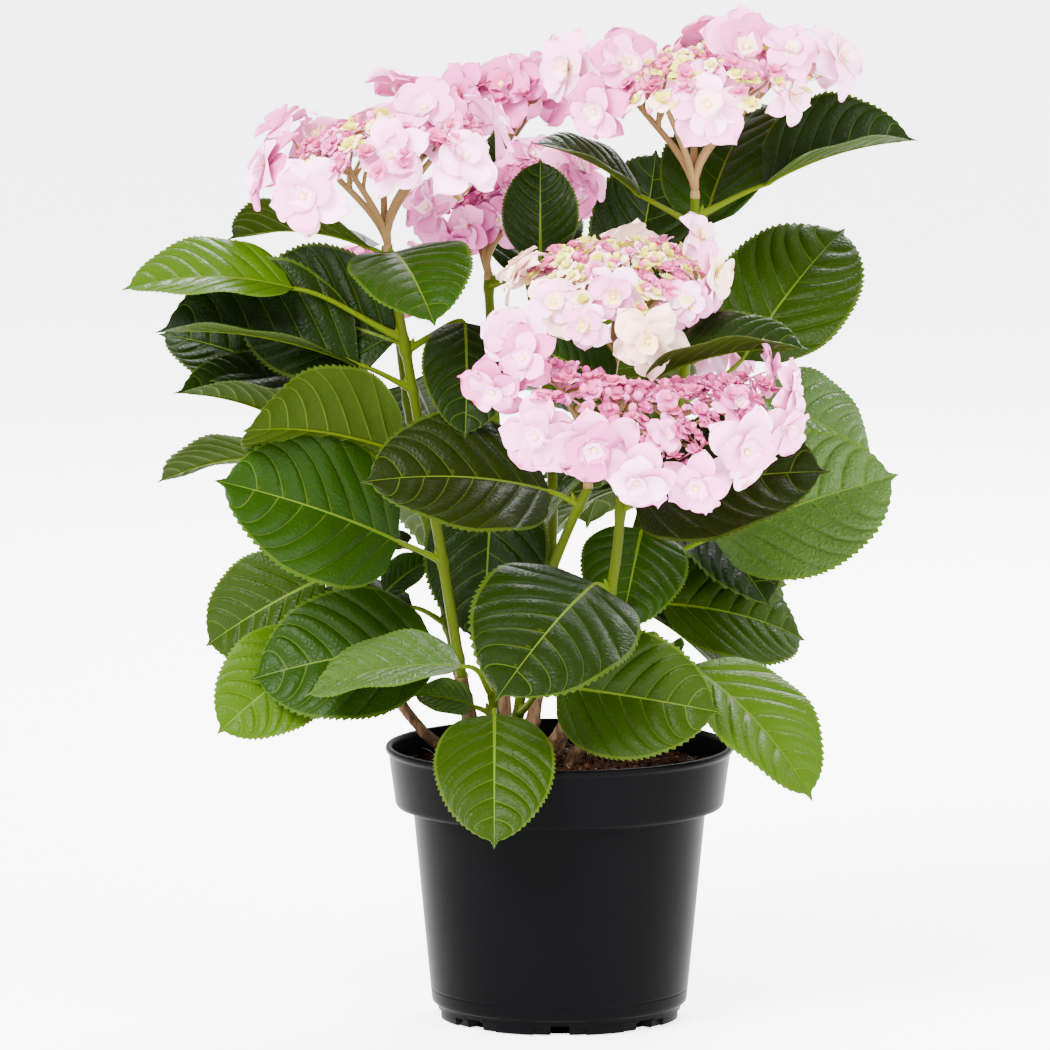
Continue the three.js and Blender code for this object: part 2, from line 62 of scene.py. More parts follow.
GAP = 0.3  # between neighbouring solids
POT_HEIGHT = 177
RIM_RADIUS = 112.5
COLLAR_HEIGHT = 40
COLLAR_RADIUS = 110.5
COLLAR_FOOT_RADIUS = 106.5
BODY_TOP_RADIUS = 95
BODY_FOOT_RADIUS = 82.5
BASE_RADIUS = 78.5
BASE_HEIGHT = 9
WALL = 2
SOIL_LEVEL = POT_HEIGHT - 14
CANE_START = SOIL_LEVEL + GAP
NOTCHES = 8  # drain notches in the foot ring, each with a shallow flank on both sides
NOTCH_WIDTH = 13
NOTCH_DEPTH = 12
NOTCH_HEIGHT = 6
NOTCH_FLANK = 35
NOTCH_FLANK_DEPTH = 2

NODE_RADIUS = 3.6  # of a green shoot where it starts
TIP_RADIUS = 3
PETIOLE_RISE = 25  # degrees that a leaf stalk climbs
LEAF_WIDTH = 0.76  # widest part of a blade, of its length
LEAF_ARCH = 0.08  # of its length
LEAF_FOLD = 12  # degrees that each half is folded up
FLORET_RADIUS = 20
CUSHION_WIDTH = 0.82  # reach of a head's small florets, in radii of the head
CUSHION_HEIGHT = 0.24

# Each shoot bends once on its way from the peat to its tip. 'fork' is the height where the bare
# woody cane ends and the leafy green shoot begins; 'girth' is the cane's radius at the peat.
SHOOTS = {
    "left": dict(foot=(-54, -4), bend=(-80, -28, 336), tip=(-110, -25, 499), fork=222, girth=5),
    "low_left": dict(foot=(-66, 12), bend=(-165, 22, 240), tip=(-149, 40, 441), fork=215, girth=5),
    "front": dict(foot=(-30, -6), bend=(-24, -20, 266), tip=(18, -50, 350), fork=190, girth=5.5),
    "middle": dict(foot=(-13, -4), bend=(55, -78, 280), tip=(34, -42, 417), fork=225, girth=5),
    "right": dict(foot=(-10, 14), bend=(90, 40, 320), tip=(87, 10, 530), fork=235, girth=5.5),
    "back": dict(foot=(-35, 16), bend=(-38, 45, 325), tip=(-46, 42, 474), fork=235, girth=5),
    "far": dict(foot=(-22, 28), bend=(20, 105, 360), tip=(-38, 122, 532), fork=235, girth=5),
    "back_left": dict(foot=(-50, 24), bend=(-90, 95, 300), tip=(-105, 95, 436), fork=230, girth=4.5),
    "back_right": dict(foot=(-4, 32), bend=(50, 105, 280), tip=(75, 135, 390), fork=230, girth=4.5),
    "young": dict(foot=(-42, -18), bend=(-41, -26, 195), tip=(-44, -34, 225), fork=176, girth=3.5),
    "low_right": dict(foot=(6, 4), bend=(35, 10, 205), tip=(62, -6, 250), fork=188, girth=4),
}

# Leaves that stand out on each shoot: node height, heading, stalk length, rise of the blade,
# blade length, turn of its face towards the leaf's own left, fold, the swing of the blade away
# from its stalk's heading, and the tone of its upper face. Angles are in degrees.
LEAVES = {
    "left": [
        (443, 181, 78, 0, 110, 20, 12, 4, "bright"),
        (495, 290, 12, -21, 104, -11, 12, -4, "fresh"),
        (436, 5, 42, -62, 80, 10, 12, 265, "deep"),
        (495, 150, 15, 0, 108, -20, 15, 0, "deep"),
        (438, 150, 8, 12, 120, 68, 12, 0, "deep"),
        (411, 186, 38, 8, 134, 30, 42, -14, "deep"),
        (363, 208, 21, 10, 122, -51, 20, 7, "fresh"),
        (299, 200, 33, 20, 132, 70, 8, 0, "fresh"),
        (236, 189, 16, -10, 122, 58, 6, -8, "fresh"),
    ],
    "low_left": [
        (400, 170, 12, 18, 105, 40, 15, 0, "deep"),
        (370, 200, 15, 18, 95, 20, 45, 0, "deep"),
        (276, 180, 16, -31, 92, 70, 12, -10, "spring"),
        (226, 200, 35, -35, 95, 55, 8, 0, "bright"),
        (262, 4, 22, 36, 40, -40, 15, 0, "fresh"),
    ],
    "front": [
        (339, 190, 22, 5, 128, 45, 8, 10, "olive"),
        (198, 296, 62, -6, 112, -72, 10, 45, "spring"),
    ],
    "middle": [
        (284, 223, 15, -26, 138, 28, 5, 16, "deep"),
        (411, 270, 21, 24, 58, 86, 8, -94, "fresh"),
        (400, 290, 56, 12, 108, -8, 26, 60, "deep"),
        (336, 346, 10, 11, 130, -48, 8, 1, "olive"),
    ],
    "right": [
        (395, 40, 60, 42, 120, -35, 8, 0, "spring"),
        (362, 30, 75, -28, 100, -50, 10, 0, "light"),
        (285, 5, 55, 18, 128, -70, 8, 0, "light"),
        (244, 38, 43, -16, 112, -49, 8, -13, "spring"),
        (311, 229, 8, -40, 91, 14, 8, 29, "fresh"),
        (518, 3, 48, 16, 104, -30, 45, 0, "deep"),
        (505, 62, 15, 42, 112, 0, 10, 0, "fresh"),
        (513, 158, 41, 26, 80, 10, 15, 30, "deep"),
    ],
    "back": [
        (340, 254, 10, -80, 108, 5, 8, 0, "deep"),
        (470, 320, 48, 78, 66, 0, 12, 130, "deep"),
    ],
    "far": [
        (452, 92, 28, 34, 92, 0, 12, 0, "deep"),
        (425, 350, 62, 68, 108, -45, 15, 70, "deep"),
        (526, 262, 24, 73, 31, 0, 15, -172, "deep"),
    ],
    "young": [
        (182, 270, 64, -50, 100, 0, 5, 0, "spring"),
        (200, 180, 14, 10, 40, 40, 10, 0, "light"),
        (214, 250, 62, -12, 104, 18, 10, -78, "light"),
    ],
    "low_right": [
        (206, 330, 62, -42, 122, -12, 8, 0, "bright"),
        (215, 300, 18, 20, 60, -20, 12, 0, "fresh"),
    ],
}

# Flower heads: the middle of the rim, radius to the rim florets, and lean of the head's axis as
# (heading, degrees). 'rim' and 'upper' count the florets that a rule spreads over the rim and the
# upper slope, 'depth' narrows a head from front to back, 'saddle' lifts its sides and lowers its
# front and back, and 'tall' sets how thick its cushion is, in radii of the head. 'tints' are the
# colours that the petals of its large florets are drawn from, 'heart' is that of their middle, and
# 'small' are those of its small florets.
# The tints pale and pink are one petal colour with painted highlight and painted shade. The heads
# 'back' and 'far' are drawn mostly from pink and mauve, which are painted shade.
HEADS = {
    "left": dict(at=(-112, -34, 566), radius=80, lean=(190, 12),
                 tints=("blush", "blush", "pale", "pink"), heart="pale",
                 small=("rose", "rose", "pink", "blush", "blush", "cream")),
    "front": dict(at=(47, -128, 412), radius=98, lean=(292, 20),
                  depth=0.62, saddle=28, tall=0.12,
                  tints=("blush", "blush", "pale", "pink"), heart="pale",
                  small=("rose", "rose", "mauve", "pink", "pink", "rose")),
    "middle": dict(at=(38, -46, 486), radius=73, lean=(270, 8),
                   tints=("pale", "shell", "pale", "blush"), heart="cream",
                   small=("shell", "cream", "rose", "blush", "pink", "shell", "lime")),
    "right": dict(at=(93, 10, 604), radius=94, lean=(185, 8),
                  tints=("blush", "pale", "pink"), heart="shell",
                  small=("rose", "cream", "shell", "pink", "rose", "lime")),
    "back": dict(at=(-30, 72, 530), radius=58, lean=(180, 20), depth=0.6,
                 tints=("pink", "pink", "blush"), heart="pale",
                 small=("rose", "mauve", "pink", "shell")),
    "far": dict(at=(-31, 126, 588), radius=40, lean=(100, 8),
                tints=("pink", "blush", "pink"), heart="rose", small=("mauve", "mauve", "rose")),
    "back_left": dict(at=(-118, 98, 470), radius=46, lean=(130, 14), rim=8, upper=2,
                      tints=("blush", "pink"), heart="shell", small=("rose", "mauve", "blush")),
    "back_right": dict(at=(80, 142, 424), radius=46, lean=(60, 14), rim=8, upper=2,
                       tints=("blush", "pale"), heart="cream", small=("rose", "blush", "cream")),
}

# Large florets that stand out on the heads: bearing round the head, reach in radii of the head,
# lift from the rim, bearing and rise of its face, and its radius. Angles are in degrees.
FLORETS = {
    "left": [
        (185, 1, 7, 200, 10, 23), (225, 0.97, -12, 235, 0, 24), (160, 0.85, 28, 170, 50, 21),
        (275, 0.7, 2, 262, 15, 22), (330, 0.45, 24, 290, 55, 25), (320, 0.85, -9, 310, 8, 25),
        (60, 0.45, 38, 80, 45, 21), (15, 0.95, 0, 20, 20, 22), (55, 1, -4, 55, 25, 22),
        (95, 0.95, 4, 95, 30, 22), (130, 0.95, 6, 130, 30, 21),
    ],
    "front": [
        (172, 0.88, 38, 200, 40, 19), (195, 0.8, 30, 225, 30, 19), (200, 1, 8, 215, 5, 21),
        (228, 0.95, -9, 235, 5, 22), (255, 1, -6, 260, 5, 24), (272, 1.05, -22, 270, -8, 23),
        (295, 1, -26, 285, -15, 20), (318, 0.98, -4, 300, 0, 24), (342, 1.05, 5, 325, 5, 20),
        (355, 1, 28, 330, 25, 18), (15, 0.9, 31, 0, 40, 17), (340, 0.7, 18, 310, 40, 15),
        (290, 0.6, 0, 280, 30, 14),
    ],
    "middle": [
        (195, 0.95, 7, 215, 20, 17), (230, 0.9, -4, 245, 10, 19), (250, 0.95, -16, 255, 0, 16),
        (265, 0.75, 0, 265, 25, 18), (283, 1.05, -24, 275, -15, 22), (335, 0.95, 8, 320, 10, 21),
        (310, 0.9, -4, 300, 10, 15), (10, 0.75, 24, 340, 50, 17), (50, 0.9, 6, 50, 35, 17),
        (85, 0.9, 6, 85, 35, 17), (172, 0.9, 8, 172, 35, 16),
    ],
    "right": [
        (190, 0.95, 24, 200, 20, 24), (215, 0.95, -3, 230, -5, 21), (215, 0.6, 24, 260, 45, 24),
        (270, 0.75, -6, 265, 15, 25), (310, 0.5, 24, 280, 40, 25), (350, 0.98, 8, 340, 20, 22),
        (320, 0.8, 20, 300, 35, 17), (325, 0.72, -12, 310, 0, 15), (90, 0.4, 28, 90, 60, 22),
        (30, 0.95, 5, 30, 30, 23), (65, 0.95, 5, 65, 30, 23), (100, 0.95, 5, 100, 30, 23),
        (135, 0.95, 8, 135, 30, 23), (165, 0.95, 14, 165, 30, 22),
    ],
    "back": [
        (340, 0.88, 1, 320, 20, 24), (45, 0.5, 17, 330, 45, 20), (315, 0.95, -17, 290, 5, 17),
        (268, 0.8, 1, 262, 20, 17), (250, 0.8, -12, 250, 5, 18), (228, 0.95, -9, 232, 5, 19),
        (192, 1, 10, 205, 20, 23), (215, 0.98, -19, 225, -20, 15), (70, 0.95, 4, 70, 30, 19),
        (120, 0.95, 4, 120, 30, 19),
    ],
    "far": [
        (250, 0.5, 6, 255, 25, 25), (200, 0.95, 0, 200, 20, 20), (320, 0.5, 8, 300, 35, 20),
        (0, 0.9, -4, 0, 10, 18), (60, 0.9, 2, 60, 30, 20), (120, 0.9, 2, 120, 30, 20),
    ],
}

# The large florets that a head's 'rim' and 'upper' count: how far each strays from an even round,
# its reach and rise in radii of the head, its lift by chance, and how far its face looks up in
# degrees. Where there are two numbers, the second is how much is left to chance.
RIM_STRAY = 0.3
RIM_REACH = (0.85, 0.15)
RIM_LIFT = 14
RIM_LOOK = (15, 30)
UPPER_STRAY = 0.5
UPPER_REACH = 0.5
UPPER_RISE = 0.26
UPPER_LIFT = 8
UPPER_LOOK = (40, 20)

# Seeded leaves that fill the far side: pairs at these heights, turned a quarter from pair to
# pair. A leaf that comes too near to what is already there is swung aside, and else skipped.
FILL = {
    "back_left": dict(heights=(246, 282, 318, 354, 390), heading=125, size=114),
    "back_right": dict(heights=(246, 282, 318, 354), heading=60, size=114),
    "far": dict(heights=(262, 300, 340, 380, 420, 460, 495), heading=90, size=108),
    "back": dict(heights=(262, 300, 340, 380, 420), heading=110, size=100),
    "right": dict(heights=(272, 315, 365, 415), heading=105, size=104),
    "left": dict(heights=(270, 330, 385), heading=95, size=95),
    "low_left": dict(heights=(346,), heading=82, size=100),
}
PAIR_TURNS = (80, 25)  # degrees from the rule's heading to the leaves of one pair and of the next
FILL_STRAY = 20  # degrees that they stray from that, half of it to either side
FILL_RISE = (-6, -40)  # degrees; the second number is left to chance, as in the two below
FILL_LENGTH = (0.85, 0.25)  # of the rule's size
FILL_PETIOLE = (18, 14)
FILL_TURN = 50  # degrees that the face is turned, half of it to either side
SWINGS = (0, 15, -15, 30, -30, 45, -45)  # degrees, tried in this order
CLEAR = 14  # from leaf to leaf and from leaf to head
CLEAR_LIMB = 9
CLEAR_FLORET = 4  # from the edge of a large floret to another shoot
LIMB_STEPS = 36  # places along a shoot from which its distance is taken
HEAD_RINGS = (0.3, 0.6, 0.9, 1.15)  # radii of a head where its distance is taken
HEAD_STEP = 24  # degrees from place to place on such a ring
SEED = 23  # of the plan, as in the part's source

# ---- Finer forms that the solids leave out --------------------------------------------------

VEINS = (0.05, 0.15, 0.27, 0.40, 0.53, 0.66, 0.79)  # where side veins leave the midrib
VEIN_WIDTH = 0.007  # of the blade's length, measured along the midrib
VEIN_TAPER = 0.55  # share of that lost on the way to the margin
SWEEP = 0.36  # how far a side vein runs on towards the tip, of the blade's length
PUCKER = 0.018  # swell of the blade between two side veins
WAVE = 0.012  # sway of the margin
TOOTH = 0.02  # reach of a tooth beyond the margin
TOOTH_PITCH = 0.032  # from tooth to tooth
COARSE_PITCH = 1.7  # how many times further apart the teeth of a seeded leaf are
FINE_COLUMNS = 8  # columns of faces from the midrib to the margin
COARSE_COLUMNS = 5
MARGIN = 0.965  # share of the half width where the pale margin begins
SHEET = 0.4  # thickness of a blade
RIB_WIDTH = 2.0  # midrib at the foot of the blade
FILL_TONES = ("deep", "deep", "fresh", "olive")  # one is drawn for each seeded leaf
BLADE_SEED = 3
STALK_RADII = ((0, 1.5, 4, 11), (3.2, 2.4, 1.9, 1.4))  # steps along a leaf stalk, and radii there
STALK_STEPS = 12
RIB_REACH = (0.1, 0.9)  # of the blade's length, for the raised midrib under it
RIB_RADII = (1.1, 0.25)
RIB_STEPS = 14

STEM_RING = 1.8  # from ring to ring of points along a green shoot
STEM_SIDES = 12
NODE_SWELL = (0.7, 3.5)  # added to the radius at each leaf, and how far that runs up and down
STEM_LIMIT = 1.6  # most that all of them may add
CANE_RING = 0.9
CANE_SIDES = 32
CANE_SUNK = 3  # below the top of the peat
CANE_FLARE = (1.6, 4)  # added to the radius at the foot, and how far that runs up
OLD_NODES = (0.32, 0.78)  # where a cane is swollen, of its height
OLD_SWELL = (0.9, 2.2)
BARK_SHIFT = 5.3  # of the flakes' pattern from cane to cane

# Layers of a double floret: petals, length and half width of the floret's radius, and the
# degrees that a petal stands up at its foot and at its tip.
BIG_LAYERS = ((5, 1.22, 0.47, 6, -26), (4, 0.92, 0.42, 28, -8), (4, 0.47, 0.27, 60, 24))
SMALL_LAYERS = ((5, 1.0, 0.46, 22, 6), (4, 0.66, 0.34, 58, 46))
SMALL_SPACING = 4.6  # between the small florets of a head
BUDS = 0.25  # share of them that are still shut
HIDDEN = 0.55  # of a large floret's radius: small ones nearer to its middle are left out
SKIRT = 0.3  # how steeply the edge of their cushion falls, of the head's radius
SKIRT_START = 0.8  # where it begins to fall, of the cushion's radius
CUSHION_REACH = 1.02  # of the cushion's radius, for the outermost small floret
FLORET_TILT = 0.26  # how far the face of a large floret strays from its place in the plan
BUD_TILT = 0.28  # the same for a small floret
GOLDEN_TURN = 2.39996  # radians round the head from one small floret to the next
FLORET_LEAN = 0.6  # how far the small florets at the edge of a cushion lean outwards
SMALL_RADII = (5.5, 9.0)
LARGER = (0.15, 1.35)  # share of the small florets that are larger, and by how much
BUD_RADII = (2.0, 3.2)
BIG_FORMS = 8  # different large florets
SMALL_FORMS = 6
BIG_SEED = 40  # of the first form, one more for each of the next
SMALL_SEED = 70
HEAD_SEED = 17  # times the number of letters in the head's name

NECK = 5  # from a shoot's tip to the fork of its head's stalk
NECK_RADII = (3.1, 3.2, 3.0, 1.5)
RAYS = 5  # main branches of that stalk
RAY_TURN = 20  # bearing of the first, in degrees
RAY_REACH = 0.62  # radii of the cushion
RAY_RADII = (2.5, 1.7)
# Twigs of each branch: radians aside from its bearing, and reach in radii of the cushion.
TWIGS = ((-0.5, RAY_REACH), (0.5, RAY_REACH), (0.0, 0.84), (0.25, 0.3), (-0.2, 0.12))
TWIG_RADII = (1.4, 0.9)
TWIG_DEPTH = 9  # from a twig's tip up to the florets over it
BIG_PEDICEL = 0.9  # radii of the thin stalks under the florets
SMALL_PEDICEL = 0.45

PEAT_FLAT = 78  # radius of the level middle of the peat
PEAT_FALL = 3  # from there to the wall of the pot
PEAT_SLOPE = 0.11  # of the crumbs that lie on that fall
PEAT_LUMPS = ((14, 0, 2.2), (4, 9, 1.6), (1.8, 4, 0.8))  # their size, seed and height
PEAT_SEED = 5
CRUMBS = 1500
CRUMB_REACH = 104
FIBRES = 160
FIBRE_REACH = 100
FIBRE_RADII = (0.25, 0.3, 0.3, 0.25, 0.1)

# ---- Studio ---------------------------------------------------------------------------------

AIM = (-22.3, 0, 320)  # what the camera and the lights are turned to, in millimetres
FRAME_WIDTH = 0.677  # metres that the picture is wide at the plant, from FRAME_DISTANCE away
FRAME_DISTANCE = 6
LIGHTS = (  # name, place and size in metres, and share of the key light's power
    ("key", (-1.7, -2.3, 2.5), 2.0, 1),
    ("fill", (2.4, -1.9, 1.2), 2.2, 0.35),
    ("back", (0.6, 2.2, 2.4), 1.8, 0.5),
)
FLOOR_RADIUS = 40000
FLOOR_RINGS = 9
FLOOR_SIDES = 48
FLOOR_DROP = 0.6  # below the pot, so that the two don't touch
FLOOR_GLOW = 2.8

# ---- Numbers and directions -----------------------------------------------------------------


def seeded(seed):
    """The same run of numbers from 0 to 1 as the part's source draws."""
    state = seed

    def chance():
        nonlocal state
        state = state * 16807 % 2147483647
        return state / 2147483647

    return chance


def drawn(span, chance):
    """A number by chance, from the first of 'span' to as much more as its second."""
    least, more = span
    return least + more * chance()


def unit(vector):
    return vector / np.linalg.norm(vector, axis=-1, keepdims=True)


def round_turns(count):
    """Even steps of a full turn, in radians."""
    return np.linspace(0, 2 * math.pi, count, endpoint=False)


def direction(heading, rise):
    """Unit vector of a heading and a rise in degrees."""
    turn, climb = math.radians(heading), math.radians(rise)
    level = math.cos(climb)
    return np.array((level * math.cos(turn), level * math.sin(turn), math.sin(climb)))


def turned(vector, axis, degrees):
    """A vector turned round an axis."""
    angle = math.radians(degrees)
    return (
        vector * math.cos(angle)
        + np.cross(axis, vector) * math.sin(angle)
        + axis * np.dot(axis, vector) * (1 - math.cos(angle))
    )


def basis(facing, spin=0):
    """Rows are two directions across 'facing' and 'facing' itself, spun round it by degrees."""
    facing = unit(np.asarray(facing, float))
    side = np.array((1.0, 0, 0)) if abs(facing[0]) < 0.9 else np.array((0, 1.0, 0))
    across = turned(unit(side - facing * side.dot(facing)), facing, spin)
    return np.array((across, np.cross(facing, across), facing))


def rough(points, size, seed=0.0):
    """Noise from -1 to 1 for each point, with lumps of the given size."""
    flat = np.asarray(points).reshape(-1, 3) / size + seed
    values = [noise.noise(Vector(point)) for point in flat]
    return np.array(values).reshape(np.shape(points)[:-1])


# ---- The plant's plan, by the same rules as the part's source -------------------------------


class Shoot:
    """A curve with one bend, from the peat to the shoot's tip."""

    def __init__(self, foot, bend, tip, fork, girth):
        self.start = np.array((*foot, SOIL_LEVEL), float)
        self.bend = np.array(bend, float)
        self.tip = np.array(tip, float)
        self.fork = fork
        self.girth = girth

    def point(self, share):
        """Points at shares of the way."""
        share = np.asarray(share, float)[..., None]
        rest = 1 - share
        return rest**2 * self.start + 2 * rest * share * self.bend + share**2 * self.tip

    def at_height(self, height):
        """The point at a height, found by halving."""
        low, high = 0.0, 1.0
        for _ in range(30):
            middle = (low + high) / 2
            if self.point(middle)[2] < height:
                low = middle
            else:
                high = middle
        return self.point((low + high) / 2)

    def spaced(self, count):
        """Points at even steps of length along the curve."""
        shares = np.linspace(0, 1, 201)
        steps = np.linalg.norm(np.diff(self.point(shares), axis=0), axis=1)
        lengths = np.concatenate(([0], np.cumsum(steps)))
        return self.point(np.interp(np.linspace(0, lengths[-1], count + 1), lengths, shares))


def outline(share):
    """Half width of an ovate blade at a share of its length, as a share of its greatest."""
    share = np.clip(share, 0, 1)
    return 2.49 * share**0.55 * (1 - share) ** 0.8  # 2.49 brings its greatest to 1


def seat(shoot, height, heading, petiole, rise, blade, turn, fold=LEAF_FOLD, swing=0, tone="deep"):
    """Where a leaf grows: its node on the shoot, the foot of its blade, and the blade's own axes."""
    node = shoot.at_height(height)
    aim = direction(heading, PETIOLE_RISE)
    along = direction(heading + swing, rise)
    left = unit(np.cross((0, 0, 1), along))
    face = np.cross(along, left)
    return SimpleNamespace(
        node=node, aim=aim, petiole=petiole, foot=node + aim * petiole, along=along,
        left=turned(left, along, -turn), face=turned(face, along, -turn),
        blade=blade, fold=math.radians(fold), tone=tone,
    )


def on_leaf(leaf, share, sideways, lift=0.0):
    """Points of a blade from shares of its length, millimetres to its left and added lift."""
    share, sideways, lift = np.broadcast_arrays(share, sideways, lift)
    arch = LEAF_ARCH * leaf.blade * 4 * share * (1 - share)
    height = arch + np.abs(sideways) * math.sin(leaf.fold) + lift
    return (
        leaf.foot
        + leaf.along * (leaf.blade * share)[..., None]
        + leaf.left * (sideways * math.cos(leaf.fold))[..., None]
        + leaf.face * height[..., None]
    )


def leaf_spots(leaf):
    """Points along the stalk and over the blade, from which a leaf's distance is taken."""
    stalk = [leaf.node + (leaf.foot - leaf.node) * share for share in (0.4, 0.7, 1)]
    share = np.array((0.12, 0.26, 0.4, 0.54, 0.68, 0.82, 0.96))[:, None]
    across = np.array((-0.95, -0.5, 0, 0.5, 0.95))[None, :]
    blade = on_leaf(leaf, share, LEAF_WIDTH / 2 * leaf.blade * outline(share) * across)
    return np.vstack((stalk, blade.reshape(-1, 3)))


def head_frame(head):
    """A head's own axes: up, and the two across it that its bearings are counted from."""
    heading, tilt = head["lean"]
    up = direction(heading, 90 - tilt)
    east = unit(np.array((1.0, 0, 0)) - up * up[0])
    return up, east, np.cross(up, east)


def floret_seats(name, chance):
    """Places, facings and radii of the large florets of a head."""
    head = HEADS[name]
    up, east, north = head_frame(head)
    radius, rim, upper = head["radius"], head.get("rim", 0), head.get("upper", 0)
    seats = []

    def put(bearing, reach, lift, aim, look, size):
        place, turn, tilt = math.radians(bearing), math.radians(aim), math.radians(look)
        out = east * math.cos(place) + north * math.sin(place) * head.get("depth", 1)
        spot = np.array(head["at"]) + out * reach * radius + up * lift
        level = east * math.cos(turn) + north * math.sin(turn)
        seats.append((spot, level * math.cos(tilt) + up * math.sin(tilt), size))

    for row in FLORETS.get(name, ()):
        put(*row)
    for i in range(rim):
        bearing = 360 * (i + 0.5 + RIM_STRAY * (chance() - 0.5)) / rim
        reach, lift = drawn(RIM_REACH, chance), RIM_LIFT * (chance() - 0.5)
        put(bearing, reach, lift, bearing, drawn(RIM_LOOK, chance), FLORET_RADIUS)
    for i in range(upper):
        bearing = 360 * (i + UPPER_STRAY * chance()) / upper
        lift = radius * UPPER_RISE + UPPER_LIFT * chance()
        put(bearing, UPPER_REACH, lift, bearing, drawn(UPPER_LOOK, chance), FLORET_RADIUS)
    return seats


@lru_cache(maxsize=1)
def plan():
    """Every shoot, leaf and large floret, drawn in the same order as in the part's source."""
    chance = seeded(SEED)
    shoots = {name: Shoot(**row) for name, row in SHOOTS.items()}
    leaves = {name: [seat(shoots[name], *row) for row in LEAVES.get(name, ())] for name in shoots}
    limbs = {name: shoot.spaced(LIMB_STEPS) for name, shoot in shoots.items()}
    crowd = [leaf_spots(leaf) for row in leaves.values() for leaf in row]
    for head in HEADS.values():
        _, east, north = head_frame(head)
        for reach in HEAD_RINGS:
            for bearing in np.radians(np.arange(0, 360, HEAD_STEP)):
                out = east * math.cos(bearing) + north * math.sin(bearing)
                crowd.append([np.array(head["at"]) + out * head["radius"] * reach])

    def near(spots, others, limit):
        return (np.linalg.norm(spots[:, None] - np.vstack(others)[None], axis=2) <= limit).any()

    for name, rule in FILL.items():
        others = [limb for owner, limb in limbs.items() if owner != name]
        for step, height in enumerate(rule["heights"]):
            for side in (-1, 1):
                aim = rule["heading"] + side * PAIR_TURNS[step % 2] + FILL_STRAY * (chance() - 0.5)
                rise = drawn(FILL_RISE, chance)
                blade = rule["size"] * drawn(FILL_LENGTH, chance)
                petiole = drawn(FILL_PETIOLE, chance)
                turn = FILL_TURN * (chance() - 0.5)
                for swing in SWINGS:
                    leaf = seat(shoots[name], height, aim + swing, petiole, rise, blade, turn, tone="")
                    spots = leaf_spots(leaf)
                    if not near(spots, others, CLEAR_LIMB) and not near(spots, crowd, CLEAR):
                        leaves[name].append(leaf)
                        crowd.append(spots)
                        break
    florets = {}
    for name in HEADS:
        others = np.vstack([limb for owner, limb in limbs.items() if owner != name])
        florets[name] = [
            (spot, facing, size) for spot, facing, size in floret_seats(name, chance)
            if np.linalg.norm(others - spot, axis=1).min() > size + CLEAR_FLORET
        ]
    return SimpleNamespace(shoots=shoots, leaves=leaves, florets=florets)


# ---- Meshes ---------------------------------------------------------------------------------


class Skin:
    """Gathers grids of points into one mesh. Every face keeps the name of its finish."""

    def __init__(self):
        self.points, self.faces, self.kinds = [], [], []
        self.names, self.count = [], 0

    def number(self, name):
        """A finish's place in the mesh's list of materials."""
        if name not in self.names:
            self.names.append(name)
        return self.names.index(name)

    def grid(self, points, kind, wrap=False, flip=False):
        """Adds rows of points as four-sided faces. 'kind' names one finish, or one for each face."""
        points = np.asarray(points, float)
        rows, columns = points.shape[:2]
        index = self.count + np.arange(rows * columns).reshape(rows, columns)
        if wrap:
            index = np.hstack((index, index[:, :1]))
        faces = np.stack((index[:-1, :-1], index[:-1, 1:], index[1:, 1:], index[1:, :-1]), axis=-1)
        if flip:
            faces = faces[..., ::-1]
        if isinstance(kind, str):
            kinds = np.full(faces.shape[:2], self.number(kind))
        else:
            kinds = np.asarray(kind)
        self.points.append(points.reshape(-1, 3))
        self.faces.append(faces.reshape(-1, 4))
        self.kinds.append(kinds.reshape(-1))
        self.count += rows * columns

    def tube(self, path, radii, kind, sides):
        """A round skin along a path, closed at both ends."""
        path = np.asarray(path, float)
        radii = np.broadcast_to(radii, len(path)).astype(float)
        along = unit(np.gradient(path, axis=0))
        across = basis(along[0])[0]
        angles = round_turns(sides)
        rings = []
        for spot, way, radius in zip(path, along, radii):
            across = unit(across - way * across.dot(way))
            other = np.cross(way, across)
            ring = np.outer(np.cos(angles), across) + np.outer(np.sin(angles), other)
            rings.append(spot + ring * radius)
        first = np.repeat(path[:1], sides, axis=0)
        last = np.repeat(path[-1:], sides, axis=0)
        self.grid([first, *rings, last], kind, wrap=True)

    def mesh(self, name, finishes):
        """The mesh in metres. A face with one side of no length becomes a triangle."""
        points = np.concatenate(self.points) * MM
        faces = np.concatenate(self.faces)
        kinds = np.concatenate(self.kinds)
        corners = points[faces]
        short = np.linalg.norm(corners - np.roll(corners, -1, axis=1), axis=2) < NO_LENGTH
        gone = short.sum(axis=1)
        whole = faces[gone == 0]
        pinched = faces[gone == 1][~short[gone == 1]].reshape(-1, 3)
        loops = np.concatenate((whole.ravel(), pinched.ravel()))
        starts = np.concatenate((
            np.arange(len(whole)) * 4, len(whole) * 4 + np.arange(len(pinched)) * 3
        ))
        mesh = bpy.data.meshes.new(name)
        mesh.vertices.add(len(points))
        mesh.vertices.foreach_set("co", points.ravel())
        mesh.loops.add(len(loops))
        mesh.loops.foreach_set("vertex_index", loops.astype(np.int32))
        mesh.polygons.add(len(starts))
        mesh.polygons.foreach_set("loop_start", starts.astype(np.int32))
        order = np.concatenate((kinds[gone == 0], kinds[gone == 1])).astype(np.int32)
        mesh.polygons.foreach_set("material_index", order)
        mesh.polygons.foreach_set("use_smooth", np.ones(len(starts), bool))
        for kind in self.names:
            mesh.materials.append(finishes[kind])
        mesh.update(calc_edges=True)
        mesh.validate()
        return mesh


def add_piece(name, skin, finishes, node):
    """Makes a gathered skin into a piece that stands for one of the solids, or a part of it."""
    piece = bpy.data.objects.new(name, skin.mesh(name, finishes))
    bpy.context.scene.collection.objects.link(piece)
    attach(piece, "root")
    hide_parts(node)


